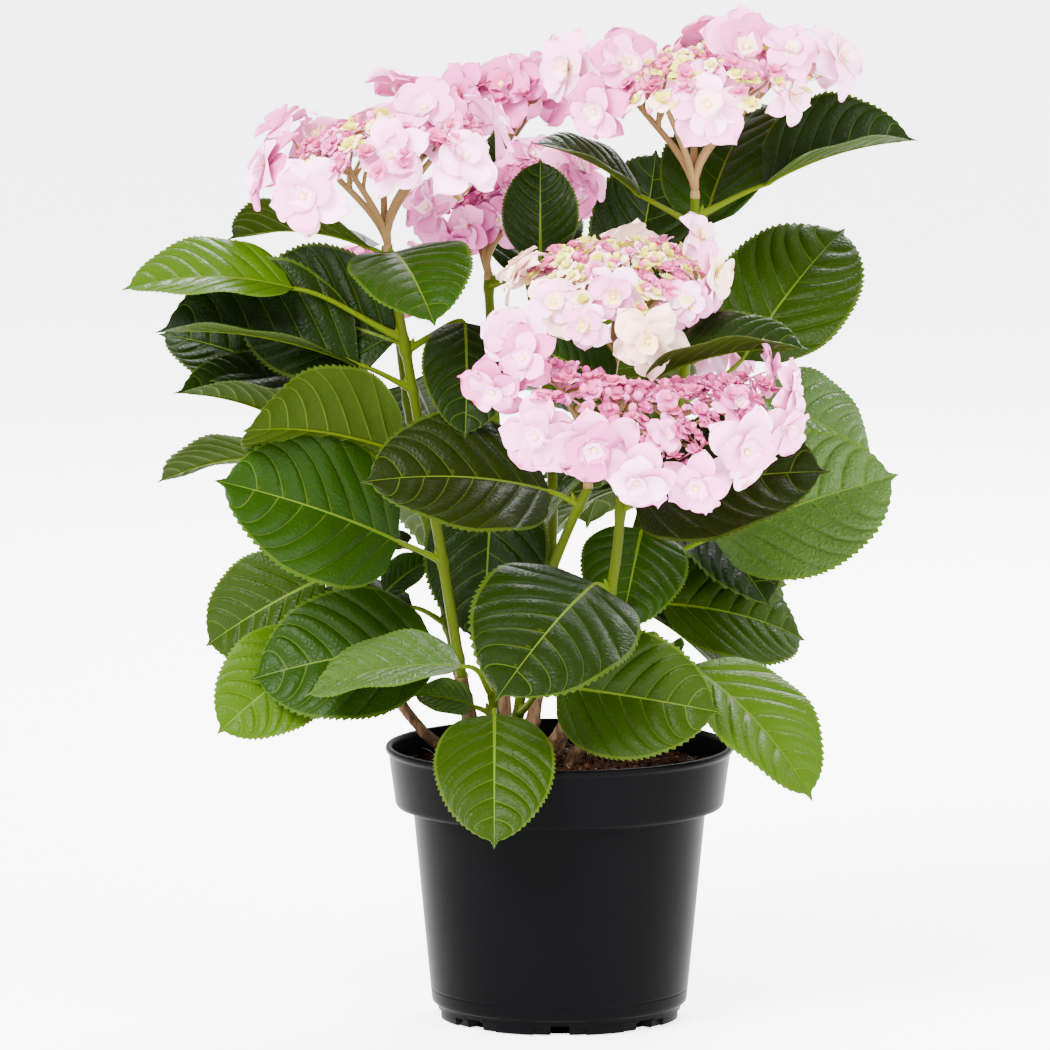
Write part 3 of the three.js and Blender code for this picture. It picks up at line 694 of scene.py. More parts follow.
def bezier(first, second, third, last, count):
    """Points along a curve that leaves 'first' towards 'second' and comes to 'last' from 'third'."""
    share = np.linspace(0, 1, count)[:, None]
    rest = 1 - share
    return (
        rest**3 * first + 3 * rest**2 * share * second
        + 3 * rest * share**2 * third + share**3 * last
    )


# ---- Finishes -------------------------------------------------------------------------------


SHEEN = 0.045  # mirror share of leaves, stalks, bark and peat
FROST_SHEEN = 0.13  # of the pale leaves
PLASTIC_SHEEN = 0.012
PETAL_SHEEN = 0.1
NET = 0.75  # height of the net of fine veins
FROST_NET = 1.3
UNDER_NET = 0.5
UNDER_ROUGHNESS = 0.65
PALER = (("vein", 0.34), ("rib", 0.8), ("edge", 0.25))  # share of the veins' colour in each
UNDER_PALER = (("vein", 0.5), ("rib", 0.8), ("edge", 0.2))
STRAW = (0.4, 0.3, 0.2)  # mixed into the peat's fibres


class Value:
    """A shader value that sums can be written with."""

    def __init__(self, finish, socket):
        self.finish, self.socket = finish, socket

    def sum(self, operation, first, second):
        return self.finish.node("ShaderNodeMath", {"operation": operation}, {0: first, 1: second})

    def __add__(self, other):
        return self.sum("ADD", self, other)

    def __radd__(self, other):
        return self.sum("ADD", other, self)

    def __mul__(self, other):
        return self.sum("MULTIPLY", self, other)

    def __rmul__(self, other):
        return self.sum("MULTIPLY", other, self)


class Finish:
    """A material made of nodes, on a body of one plain colour."""

    def __init__(self, name, colour, roughness, **plain):
        self.material = bpy.data.materials.new(name)
        self.material.use_nodes = True
        self.tree = self.material.node_tree
        self.tree.nodes.clear()
        self.body = self.tree.nodes.new("ShaderNodeBsdfPrincipled")
        end = self.tree.nodes.new("ShaderNodeOutputMaterial")
        self.tree.links.new(self.body.outputs[0], end.inputs[0])
        self.material.diffuse_color = (*colour, 1)
        self.fill(self.body, {"Base Color": (*colour, 1), "Roughness": roughness, **plain})
        self.where = self.node("ShaderNodeTexCoord", out="Object")

    def fill(self, node, sockets):
        """Sets sockets to plain values, or links values to them."""
        for key, value in sockets.items():
            if isinstance(value, Value):
                self.tree.links.new(value.socket, node.inputs[key])
            else:
                node.inputs[key].default_value = value

    def node(self, kind, settings=None, sockets=None, out=0):
        """Adds a node of a type, sets it up, then fills its sockets with values or links."""
        node = self.tree.nodes.new(kind)
        for key, value in (settings or {}).items():
            if key == "stops":
                for stop, (place, colour) in zip(node.color_ramp.elements, value):
                    stop.position, stop.color = place, (*colour, 1)
            else:
                setattr(node, key, value)
        self.fill(node, sockets or {})
        return Value(self, node.outputs[out])

    def noise(self, size, detail=2.0, stretch=(1, 1, 1)):
        """Soft lumps of about the given size in millimetres, from 0 to 1."""
        place = self.node(
            "ShaderNodeVectorMath", {"operation": "MULTIPLY"}, {0: self.where, 1: stretch}
        )
        return self.node(
            "ShaderNodeTexNoise", {}, {"Vector": place, "Scale": 1 / (size * MM), "Detail": detail}
        )

    def cells(self, size, feature="F1"):
        """Cells of about the given size in millimetres: distance to their middle or their edge."""
        return self.node(
            "ShaderNodeTexVoronoi", {"feature": feature},
            {"Vector": self.where, "Scale": 1 / (size * MM)},
        )

    def mix(self, share, first, second):
        """A colour between two, by a share."""
        sides = [value if isinstance(value, Value) else (*value, 1) for value in (first, second)]
        return self.node(
            "ShaderNodeMix", {"data_type": "RGBA"}, {"Factor": share, 6: sides[0], 7: sides[1]}, out=2
        )

    def relief(self, height, depth, strength=1.0):
        """Bumps of the given depth in millimetres, from heights of 0 to 1."""
        bump = self.node(
            "ShaderNodeBump", {}, {"Height": height, "Distance": depth * MM, "Strength": strength}
        )
        self.fill(self.body, {"Normal": bump})


def darker(colour, share):
    """A share of a colour's light."""
    return tuple(channel * share for channel in colour)


def blended(first, second, share):
    """A plain colour between two, by a share."""
    return tuple(a + (b - a) * share for a, b in zip(first, second))


def leaf_finish(name, colour, roughness, net, sheen):
    """A blade's skin: a net of fine veins in relief and a satin sheen that comes and goes."""
    finish = Finish(name, colour, roughness, **{"Specular IOR Level": sheen})
    lumps = finish.noise(9, 2)
    finish.relief(finish.cells(3.4, "DISTANCE_TO_EDGE") * 0.8 + lumps * 0.8, net, 0.8)
    finish.fill(finish.body, {"Roughness": roughness - 0.1 + lumps * 0.2})
    return finish.material


def vein_finish(name, colour):
    """A plain skin with faint relief, for veins, margins and thin stalks."""
    finish = Finish(name, colour, 0.5, **{"Specular IOR Level": SHEEN})
    finish.relief(finish.noise(1.5), 0.1, 0.4)
    return finish.material


def petal_finish(name, colour):
    """A petal's skin: matt, lit a little from within, with soft creases."""
    finish = Finish(
        name, colour, 0.6,
        **{"Subsurface Weight": 0.25, "Subsurface Radius": (0.004, 0.002, 0.002),
           "Subsurface Scale": 1.0, "Specular IOR Level": PETAL_SHEEN},
    )
    finish.relief(finish.noise(2.2, 3), 0.25, 0.5)
    return finish.material


def shoot_finish(name, colour, speck):
    """A green stem's or stalk's skin, with fine dark specks."""
    finish = Finish(name, colour, 0.42, **{"Specular IOR Level": SHEEN})
    spots = finish.node(
        "ShaderNodeValToRGB", {"stops": ((0.10, (1, 1, 1)), (0.2, (0, 0, 0)))},
        {"Fac": finish.cells(1.5)},
    )
    finish.fill(finish.body, {"Base Color": finish.mix(spots, colour, speck)})
    finish.relief(finish.noise(1.2, 3), 0.2, 0.6)
    return finish.material


def bark_finish(name, colour, pale):
    """Flaking bark: long pale strips over brown, with rough relief."""
    finish = Finish(name, colour, 0.85, **{"Specular IOR Level": SHEEN})
    strips = finish.noise(3, 4, (1, 1, 0.18))
    grain = finish.noise(0.8, 3, (1, 1, 0.4))
    shade = finish.node(
        "ShaderNodeValToRGB", {"stops": ((0.35, (0, 0, 0)), (0.7, (1, 1, 1)))}, {"Fac": strips}
    )
    finish.fill(finish.body, {"Base Color": finish.mix(shade, colour, pale)})
    finish.relief(strips + grain * 0.5, 0.7, 0.9)
    return finish.material


def peat_finish(name, dark, brown):
    """Moist peat: brown crumbs in near-black gaps."""
    finish = Finish(name, dark, 0.85, **{"Specular IOR Level": SHEEN})
    crumbs = finish.cells(3.2)
    dust = finish.noise(1.4, 4)
    colour = finish.mix(dust, dark, brown)
    finish.fill(finish.body, {"Base Color": colour, "Roughness": 0.6 + crumbs * 0.5})
    finish.relief(dust + crumbs, 1.2, 0.9)
    return finish.material


def moulded_finish(name, colour, roughness):
    """Moulded plastic: a fine grain, faint flow marks and a sheen that varies a little."""
    finish = Finish(name, colour, roughness, **{"Specular IOR Level": PLASTIC_SHEEN})
    flow = finish.noise(40, 2, (1, 1, 0.3))
    finish.fill(finish.body, {"Roughness": roughness - 0.05 + flow * 0.1})
    finish.relief(finish.noise(0.9, 3), 0.03, 0.5)
    return finish.material


# ---- Leaves and green shoots ----------------------------------------------------------------


def swept(place, reach):
    """Share of the length reached by a side vein that leaves the midrib at 'place'."""
    bend = 0.6 * reach + 0.4 * reach**2  # it bends towards the tip as it goes
    run = SWEEP * bend * np.sin(math.pi * np.sqrt(place))
    return np.clip(place + run, 0, 1)


def stations(pitch):
    """Lines across half a blade: place on the midrib, place between two side veins, place in a
    tooth, and whether a vein starts or ends on the line."""
    lines = []
    for start, end in zip((0, *VEINS), (*VEINS, 1)):
        teeth = max(1, round((swept(end, 1.0) - swept(start, 1.0)) / pitch))
        for step in range(3 * teeth + 1):
            share = step / (3 * teeth)
            over = step == 0 and start > 0
            under = share == 1 and end < 1
            lines.append((start + (end - start) * share, share, step % 3 / 3, under, over))
    return np.array(lines, float).T


def blade_outline(share):
    """Half width of a blade with a rounded foot and a short drawn-out tip, from 0 to 1."""
    body = np.clip(share / 0.95, 0, 1)
    oval = 2.134 * body**0.5 * (1 - body) ** 0.6  # 2.134 brings its greatest to 1
    tip = 1.1 * (1 - share) * (share > 0.9)
    return np.maximum(oval, tip)


def add_blade(skin, leaf, tone, fine, phase):
    """A blade of two close sheets, with side veins, puckers between them and a toothed margin."""
    pitch = TOOTH_PITCH if fine else TOOTH_PITCH * COARSE_PITCH
    columns = FINE_COLUMNS if fine else COARSE_COLUMNS
    place, bay, tooth, under, over = stations(pitch)[:, :, None]
    reach = np.append(np.linspace(0, MARGIN, columns), 1)[None, :]
    size = leaf.blade
    halves = []
    for side in (-1, 1):
        # Veins on one side leave the midrib a little further on than their partners.
        middle = place + (0.025 * np.sin(math.pi * place) if side > 0 else 0)
        share = swept(middle, reach) + over * VEIN_WIDTH * (1 - VEIN_TAPER * reach)
        share = np.clip(share, 0, 1)
        half = LEAF_WIDTH / 2 * size * blade_outline(share)
        rib = np.minimum(half, RIB_WIDTH / 2 * (1 - share) ** 1.2 + 0.12)
        ends = np.minimum(1, 6 * share * (1 - share))
        spike = (reach == 1) * tooth * size * TOOTH * pitch / TOOTH_PITCH * ends
        sideways = rib + (half - rib) * reach + spike
        swell = (4 * bay * (1 - bay)) ** 0.6 * PUCKER * size * np.sin(math.pi * reach**0.8) ** 0.5
        swell = swell * ends
        sway = WAVE * size * reach**2 * np.sin(2 * math.pi * (2.3 * share + phase + 0.2 * side))
        tilt = np.clip(share + spike / size * 0.8, 0, 1)
        halves.append((tilt, side * sideways, swell + sway * np.minimum(1, 4 * (1 - share))))
    share, sideways, lift = (
        np.hstack((right[:, ::-1], left)) for right, left in zip(*halves)
    )
    shape = (len(share) - 1, share.shape[1] - 1)
    is_vein = np.repeat(under[:-1] > 0, shape[1], axis=1)
    is_rib = np.arange(shape[1]) == columns
    is_edge = np.isin(np.arange(shape[1]), (0, shape[1] - 1))
    sheets = []
    for depth, flesh, flip in ((SHEET / 2, tone, True), (-SHEET / 2, "under", False)):
        points = on_leaf(leaf, share, sideways, lift + depth)
        kinds = np.full(shape, skin.number(flesh))
        kinds[is_vein] = skin.number(flesh + " vein")
        kinds[:, is_edge] = skin.number(flesh + " edge")
        kinds[:, is_rib] = skin.number(flesh + " rib")
        skin.grid(points, kinds, flip=flip)
        sheets.append(points)
    top, bottom = sheets
    for column, flip in ((0, False), (-1, True)):
        edge = np.stack((top[:, column], bottom[:, column]), axis=1)
        skin.grid(edge, tone + " edge", flip=flip)


def add_petiole(skin, leaf):
    """A leaf stalk that runs on as the raised midrib under its blade."""
    heel = on_leaf(leaf, 0.04, 0.0, -1.0)
    after = leaf.node + leaf.aim * leaf.petiole * 0.45
    before = leaf.foot - leaf.along * leaf.petiole * 0.25
    stalk = bezier(leaf.node, after, before, heel, STALK_STEPS)
    shares = np.linspace(*RIB_REACH, RIB_STEPS)
    widths = np.interp(shares, RIB_REACH, RIB_RADII)
    rib = on_leaf(leaf, shares, 0.0, -SHEET / 2 - widths * 0.35)
    radii = np.interp(np.arange(STALK_STEPS), *STALK_RADII)
    skin.tube(np.vstack((stalk, rib)), np.concatenate((radii, widths)), "stalk", 8)


def add_bud(skin, leaf):
    """The small bud that sits between a leaf stalk and the shoot."""
    out = unit(leaf.aim * (1, 1, 0))
    foot = leaf.node + out * 3.4 + np.array((0, 0, 2.0))
    tip = foot + out * 1.6 + np.array((0, 0, 6.5))
    shares = np.linspace(0, 1, 6)[:, None]
    skin.tube(foot + (tip - foot) * shares, (0.8, 1.7, 2.0, 1.6, 0.9, 0.2), "stalk", 7)


def swelling(away, rise, length):
    """What a swollen node adds to a limb's radius, by the distance from the node."""
    return rise * np.exp(-((away / length) ** 2))


def add_stem(skin, shoot, leaves):
    """A green shoot, from inside the top of its cane to its tip, swollen at each leaf."""
    heights = np.arange(shoot.fork - 1, shoot.tip[2] + 1.5, STEM_RING)
    path = np.array([shoot.at_height(min(height, shoot.tip[2])) for height in heights])
    path[:, 2] = heights
    radii = np.interp(heights, (shoot.fork, shoot.tip[2]), (NODE_RADIUS, TIP_RADIUS))
    for leaf in leaves:
        radii = radii + swelling(heights - leaf.node[2] + 1, *NODE_SWELL)
    radii = np.minimum(radii, NODE_RADIUS + STEM_LIMIT)
    skin.tube(path, radii, "stem", STEM_SIDES)


def add_cane(skin, shoot, seed):
    """A woody cane with flaking bark, swollen at its old nodes and at its foot."""
    heights = np.arange(CANE_START - CANE_SUNK, shoot.fork + 0.5, CANE_RING)
    path = np.array([shoot.at_height(max(height, SOIL_LEVEL)) for height in heights])
    path[:, 2] = heights
    top = NODE_RADIUS + 0.4
    radii = np.interp(heights, (CANE_START, shoot.fork), (shoot.girth, top))
    flare, length = CANE_FLARE
    radii = radii + flare * np.exp(-((heights - CANE_START + CANE_SUNK) / length))
    for share in OLD_NODES:
        node = CANE_START + (shoot.fork - CANE_START) * share
        radii = radii + swelling(heights - node, *OLD_SWELL)
    angles = round_turns(CANE_SIDES)
    ring = np.stack((np.cos(angles), np.sin(angles), np.zeros(CANE_SIDES)), axis=1)
    points = path[:, None] + ring[None] * radii[:, None, None]
    flakes = rough(points * (1, 1, 0.3), 2.2, seed) * 0.5 + rough(points, 0.9, seed) * 0.18
    points = points + ring[None] * flakes[..., None]
    lid = np.repeat(path[-1:], CANE_SIDES, axis=0)
    skin.grid([*points, lid], "bark", wrap=True)


# ---- Flower heads ---------------------------------------------------------------------------


def petal(length, half, foot_rise, tip_rise, random, rows, columns):
    """A rounded petal that grows along +X from the origin, cupped and a little creased."""
    share = np.sin(np.linspace(0, math.pi / 2, rows))
    climb = np.radians(np.interp(share, (0, 1), (foot_rise, tip_rise)))
    step = np.diff(share, prepend=0) * length
    run, rise = np.cumsum(np.cos(climb) * step), np.cumsum(np.sin(climb) * step)
    width = half * np.sin(math.pi * np.minimum(share**1.3, 1)) ** random.uniform(0.42, 0.68)
    width[0] = half * 0.15
    across = np.linspace(-1, 1, columns)[None, :]
    ruffle = np.sin(across * random.uniform(2.5, 4) + random.uniform(0, 6)) * 0.07 * length
    ruffle = ruffle * share[:, None] ** 2
    cup, point = random.uniform(0.10, 0.30), random.uniform(0.02, 0.13)
    points = np.empty((rows, columns, 3))
    points[..., 0] = run[:, None] - point * length * np.abs(across) ** 1.5 * share[:, None] ** 3
    points[..., 1] = width[:, None] * across
    points[..., 2] = rise[:, None] + ruffle + across**2 * width[:, None] * cup
    roll = random.uniform(-0.26, 0.26)
    points[..., 2] += points[..., 1] * roll
    return points


def double_floret(layers, seed, rows, columns):
    """Petals of a double floret that faces +Z, as (points, layer)."""
    random = np.random.default_rng(seed)
    petals = []
    spin = 0.0
    for layer, (count, length, half, foot_rise, tip_rise) in enumerate(layers):
        for i in range(count):
            size = length * random.uniform(0.84, 1.06)
            lean = random.uniform(-14, 14)
            one = petal(size, half * random.uniform(0.92, 1.08), foot_rise + lean, tip_rise + lean,
                        random, rows, columns)
            angle = spin + 2 * math.pi * (i + random.uniform(-0.09, 0.09)) / count
            cos, sin = math.cos(angle), math.sin(angle)
            petals.append((one @ np.array(((cos, sin, 0), (-sin, cos, 0), (0, 0, 1))), layer))
        spin += math.pi / count + random.uniform(-0.2, 0.2)
    return petals


@lru_cache(maxsize=None)
def floret_forms(big):
    """The different florets of one kind, each from its own seed."""
    if big:
        return [double_floret(BIG_LAYERS, BIG_SEED + i, 10, 9) for i in range(BIG_FORMS)]
    return [double_floret(SMALL_LAYERS, SMALL_SEED + i, 5, 4) for i in range(SMALL_FORMS)]


def add_floret(skin, spot, facing, radius, tints, random, big=True):
    """One of the double florets, with 'tints' for its outer petals, inner petals and heart."""
    outer, inner, heart = tints
    forms = floret_forms(big)
    form = forms[random.integers(len(forms))]
    axes = basis(facing, random.uniform(0, 360))
    foot = spot - axes[2] * radius * 0.15
    for points, layer in form:
        tint = outer if layer == 0 else inner if big else heart
        kinds = np.full((points.shape[0] - 1, points.shape[1] - 1), skin.number(tint))
        kinds[:2 * layer] = skin.number(heart)
        skin.grid(foot + points * radius @ axes, kinds)
    centre = foot + axes[2] * radius * 0.12
    add_ball(skin, centre, radius * 0.09, axes[2], "cream" if big else heart)


def add_ball(skin, centre, radius, up, kind, stretch=1.0, rows=4, sides=6):
    """A small ball of few faces, stretched along 'up'."""
    axes = basis(up)
    tilt = np.linspace(0, math.pi, rows + 1)[:, None]
    turn = round_turns(sides)[None, :]
    ball = np.stack(np.broadcast_arrays(
        np.sin(tilt) * np.cos(turn), np.sin(tilt) * np.sin(turn), -np.cos(tilt) * stretch
    ), axis=-1)
    skin.grid(centre + ball * radius @ axes, kind, wrap=True, flip=True)


def dome(head, reach, bearing, sink=0.0):
    """A point and its outward direction on the cushion of small florets."""
    up, east, north = head_frame(head)
    out = east * math.cos(bearing) + north * math.sin(bearing) * head.get("depth", 1)
    rise = head["radius"] * head.get("tall", CUSHION_HEIGHT) * math.sqrt(max(1 - reach**2, 0))
    rise += head.get("saddle", 0) * reach**2 * math.cos(2 * bearing)
    rise -= head["radius"] * SKIRT * max(reach - SKIRT_START, 0)
    spot = np.array(head["at"]) + out * head["radius"] * CUSHION_WIDTH * reach + up * (rise - sink)
    return spot, unit(up + out * reach * FLORET_LEAN)


def add_head(name, head, florets, stalks, blooms, buds):
    """One flower head: branching stalks, large double florets round it and small ones within."""
    random = np.random.default_rng(len(name) * HEAD_SEED)
    up = head_frame(head)[0]
    neck = np.array(SHOOTS[name]["tip"], float)
    fork = neck + (0, 0, NECK)
    column = [neck + (0, 0, GAP), neck + (0, 0, NECK / 2), fork, fork + (0, 0, 2)]
    stalks.tube(column, NECK_RADII, "ray", 10)
    tips = []
    radius = head["radius"]
    for i in range(RAYS):
        bearing = math.radians(360 / RAYS * i + RAY_TURN)
        end, _ = dome(head, RAY_REACH, bearing, radius * head.get("tall", CUSHION_HEIGHT) * 0.9)
        length = np.linalg.norm(end - fork)
        ray = bezier(fork, fork + up * length * 0.35, end - up * length * 0.12, end, 12)
        stalks.tube(ray, np.linspace(*RAY_RADII, 12), "ray", 8)
        for aside, reach in TWIGS:
            tip, look = dome(head, reach, bearing + aside, TWIG_DEPTH)
            start = ray[8 if reach > RAY_REACH / 2 else 6]  # inner twigs leave lower down
            twig = bezier(start, start + (ray[-1] - ray[-3]) * 1.2, tip - look * 6, tip, 7)
            stalks.tube(twig, np.linspace(*TWIG_RADII, 7), "ray", 6)
            tips.append(tip)
    tips = np.array(tips)

    def add_pedicel(spot, facing, thick):
        """A thin stalk from the nearest twig to the back of a floret."""
        start = tips[np.linalg.norm(tips - spot, axis=1).argmin()]
        length = np.linalg.norm(spot - start)
        path = bezier(start, start + up * length * 0.3, spot - facing * length * 0.45, spot, 5)
        stalks.tube(path, np.linspace(thick, thick * 0.7, 5), "pedicel", 4)

    for spot, facing, size in florets:
        look = unit(facing + random.normal(0, FLORET_TILT, 3))
        outer, inner = (head["tints"][i] for i in random.integers(len(head["tints"]), size=2))
        size = size * random.uniform(1.0, 1.1)
        add_floret(blooms, spot, look, size, (outer, inner, head["heart"]), random)
        add_pedicel(spot - look * 3, look, BIG_PEDICEL)
    count = int((radius * CUSHION_WIDTH / SMALL_SPACING) ** 2 * head.get("depth", 1))
    for i in range(count):
        reach = CUSHION_REACH * math.sqrt((i + 0.5) / count)
        bearing = i * GOLDEN_TURN + random.uniform(-0.15, 0.15)
        spot, look = dome(head, reach, bearing, random.uniform(-3, 4))
        if any(np.linalg.norm(spot - other) < HIDDEN * size for other, _, size in florets):
            continue
        look = unit(look + random.normal(0, BUD_TILT, 3))
        tint = head["small"][random.integers(len(head["small"]))]
        if random.uniform() < BUDS * (1.5 - reach):
            add_ball(buds, spot, random.uniform(*BUD_RADII), look, tint, stretch=1.15)
        else:
            heart = "lime" if tint in ("cream", "shell") else "rose"
            size = random.uniform(*SMALL_RADII) * (LARGER[1] if random.uniform() < LARGER[0] else 1)
            add_floret(buds, spot, look, size, (tint, tint, heart), random, big=False)
        add_pedicel(spot - look, look, SMALL_PEDICEL)


# ---- Pot and peat ---------------------------------------------------------------------------


def eased(profile):
    """A profile with lines added close to each corner, so that long faces stay flat to the eye."""
    points = [np.array(profile[0], float)]
    for end in profile[1:]:
        start, end = points[-1], np.array(end, float)
        length = np.linalg.norm(end - start)
        if length > 5:
            for share in (1 / length, 0.5, 1 - 1 / length):
                points.append(start + (end - start) * share)
        points.append(end)
    return np.array(points)


def add_pot(skin):
    """A turned pot with a rolled rim, a deep collar and drain notches round its foot ring."""
    collar_foot = POT_HEIGHT - COLLAR_HEIGHT
    floor = BASE_HEIGHT + 1
    shelf = NOTCH_HEIGHT - 1
    profile = eased([
        (0.01, 0), (BASE_RADIUS - NOTCH_DEPTH - 4, 0), (BASE_RADIUS - 0.7, 0), (BASE_RADIUS - 0.1, 0.7),
        (BASE_RADIUS + 0.2, shelf - 0.2), (BASE_RADIUS + 0.2, shelf + 0.2),
        (BASE_RADIUS + 0.4, NOTCH_HEIGHT - 0.2), (BASE_RADIUS + 0.4, NOTCH_HEIGHT + 0.2),
        (BASE_RADIUS + 0.8, BASE_HEIGHT), (BODY_FOOT_RADIUS - 0.9, BASE_HEIGHT + 0.7),
        (BODY_FOOT_RADIUS, BASE_HEIGHT + 1.6), (BODY_FOOT_RADIUS + 0.4, BASE_HEIGHT + 4),
        (BODY_FOOT_RADIUS + 0.9, BASE_HEIGHT + 9.6), (BODY_FOOT_RADIUS + 0.6, BASE_HEIGHT + 10),
        (BODY_FOOT_RADIUS + 1.0, BASE_HEIGHT + 10.4),
        (BODY_TOP_RADIUS - 0.3, collar_foot - 1.5), (BODY_TOP_RADIUS + 0.8, collar_foot - 0.2),
        (COLLAR_FOOT_RADIUS - 3.5, collar_foot + 0.3), (COLLAR_FOOT_RADIUS - 1.2, collar_foot + 1.2),
        (COLLAR_FOOT_RADIUS - 0.2, collar_foot + 3), (COLLAR_FOOT_RADIUS, collar_foot + 5),
        (COLLAR_RADIUS, POT_HEIGHT - 5.4), (COLLAR_RADIUS + 0.5, POT_HEIGHT - 4.2),
        (RIM_RADIUS - 0.3, POT_HEIGHT - 3.5), (RIM_RADIUS, POT_HEIGHT - 2.6),
        (RIM_RADIUS, POT_HEIGHT - 1.2), (RIM_RADIUS - 0.5, POT_HEIGHT - 0.3),
        (RIM_RADIUS - 1.4, POT_HEIGHT), (COLLAR_RADIUS - WALL + 0.9, POT_HEIGHT),
        (COLLAR_RADIUS - WALL + 0.2, POT_HEIGHT - 0.6), (COLLAR_RADIUS - WALL - 0.3, POT_HEIGHT - 3),
        (COLLAR_FOOT_RADIUS - WALL, collar_foot + 6), (BODY_TOP_RADIUS - WALL, collar_foot + 2),
        (BODY_FOOT_RADIUS - WALL, floor), (0.01, floor),
    ])
    notch = math.degrees(math.asin(NOTCH_WIDTH / 2 / BASE_RADIUS))
    flank = math.degrees(math.asin(NOTCH_FLANK / 2 / BASE_RADIUS))
    angles = set(np.round(np.arange(0, 360, 1.5), 3))
    for i in range(NOTCHES):
        middle = 360 * i / NOTCHES - 90
        for edge in (notch, flank):
            for nudge in (-0.12, 0.12):
                angles |= {round((middle + side * edge + nudge) % 360, 3) for side in (-1, 1)}
    angles = np.array(sorted(angles))
    away = np.abs((angles + 90 + 180 / NOTCHES) % (360 / NOTCHES) - 180 / NOTCHES)
    radius = np.repeat(profile[:, :1], len(angles), axis=1)
    height = np.repeat(profile[:, 1:], len(angles), axis=1)
    outside = (np.arange(len(profile)) < len(profile) // 2)[:, None] & (radius > BASE_RADIUS - 2)
    radius = np.where(outside & (height < shelf) & (away < flank), radius - NOTCH_FLANK_DEPTH, radius)
    radius = np.where(outside & (height < NOTCH_HEIGHT) & (away < notch), radius - NOTCH_DEPTH, radius)
    turn = np.radians(angles)[None, :]
    points = np.stack((radius * np.cos(turn), radius * np.sin(turn), height), axis=-1)
    skin.grid(points, "pot", wrap=True)


def add_peat(skin):
    """The rough top of the peat, with loose crumbs and fibres on it."""
    random = np.random.default_rng(PEAT_SEED)
    collar_foot = POT_HEIGHT - COLLAR_HEIGHT
    edge = COLLAR_FOOT_RADIUS - WALL + 1.6
    rings = np.concatenate((np.linspace(0.5, edge, 60), [edge - 0.2]))[:, None]
    turns = round_turns(220)[None, :]
    x, y = rings * np.cos(turns), rings * np.sin(turns)
    fall = np.interp(rings, (0, PEAT_FLAT, edge), (SOIL_LEVEL, SOIL_LEVEL, SOIL_LEVEL - PEAT_FALL))
    points = np.stack((x, y, fall + 0 * turns), axis=-1)
    points[..., 2] += sum(rough(points, size, seed) * height for size, seed, height in PEAT_LUMPS)
    points[-1, :, 2] = collar_foot + 12  # the last ring hides in the wall of the pot
    skin.grid(points, "peat", wrap=True)

    def scattered(reach_limit):
        """How far out a loose bit lies, and where."""
        reach = reach_limit * math.sqrt(random.uniform())
        turn = random.uniform(0, 2 * math.pi)
        return reach, reach * math.cos(turn), reach * math.sin(turn)

    for _ in range(CRUMBS):
        reach, x, y = scattered(CRUMB_REACH)
        level = SOIL_LEVEL - max(reach - PEAT_FLAT, 0) * PEAT_SLOPE
        spot = np.array((x, y, level + random.uniform(-0.5, 2)))
        size = random.uniform(0.7, 2.6)
        kind = "crumb" if random.uniform() < 0.4 else "peat"
        add_ball(skin, spot, size, random.normal(0, 1, 3), kind, random.uniform(0.5, 1.3), 3, 5)
    for _ in range(FIBRES):
        _, x, y = scattered(FIBRE_REACH)
        start = np.array((x, y, SOIL_LEVEL + 0.5))
        way = random.normal(0, 1, 3) * (1, 1, 0.25)
        steps = np.linspace(0, random.uniform(4, 11), 5)[:, None]
        sag = np.array((0, 0, -0.02)) * steps**2
        skin.tube(start + unit(way) * steps + sag, FIBRE_RADII, "fibre", 4)


# ---- Settings that a user would change ------------------------------------------------------


def shade(name, colour, description):
    """A colour that a user may change."""
    return bpy.props.FloatVectorProperty(
        name=name, description=description, subtype="COLOR", size=3, min=0, max=1, default=colour
    )


class LeafSettings(bpy.types.PropertyGroup):
    # Deep is partly the leaves' own dark green and partly painted shade, for the leaves inside the
    # plant and on its far side.
    deep: shade("Deep leaf", (0.0033, 0.0088, 0.0001), "Upper face of a shaded, dark leaf")
    fresh: shade("Fresh leaf", (0.0056, 0.0176, 0.0001), "Upper face of a leaf in full growth")
    spring: shade("Spring leaf", (0.0085, 0.0195, 0.0001), "Upper face of a low, yellow green leaf")
    bright: shade("Bright leaf", (0.020, 0.046, 0.0003), "Upper face of a low, light green leaf")
    # Light is the bright green with a grey-blue cast added: painted sheen for the glossy pale leaves,
    # on top of the real sheen that FROST_SHEEN gives.
    light: shade("Light leaf", (0.020, 0.046, 0.004), "Upper face of a pale leaf")
    olive: shade("Olive leaf", (0.0042, 0.0074, 0.0001), "Upper face of an old, dull leaf")
    under: shade("Underside", (0.014, 0.025, 0.0006), "Underside of every leaf")
    vein: shade("Vein", (0.060, 0.095, 0.006), "Midribs and side veins")
    stalk: shade("Stalk", (0.042, 0.062, 0.0003), "Leaf stalks and green shoots")
    speck: shade("Speck", (0.045, 0.025, 0.012), "Specks on the green shoots")
    roughness: bpy.props.FloatProperty(
        name="Leaf roughness", description="Dullness of the upper faces", subtype="FACTOR",
        min=0.1, max=1, default=0.38,
    )


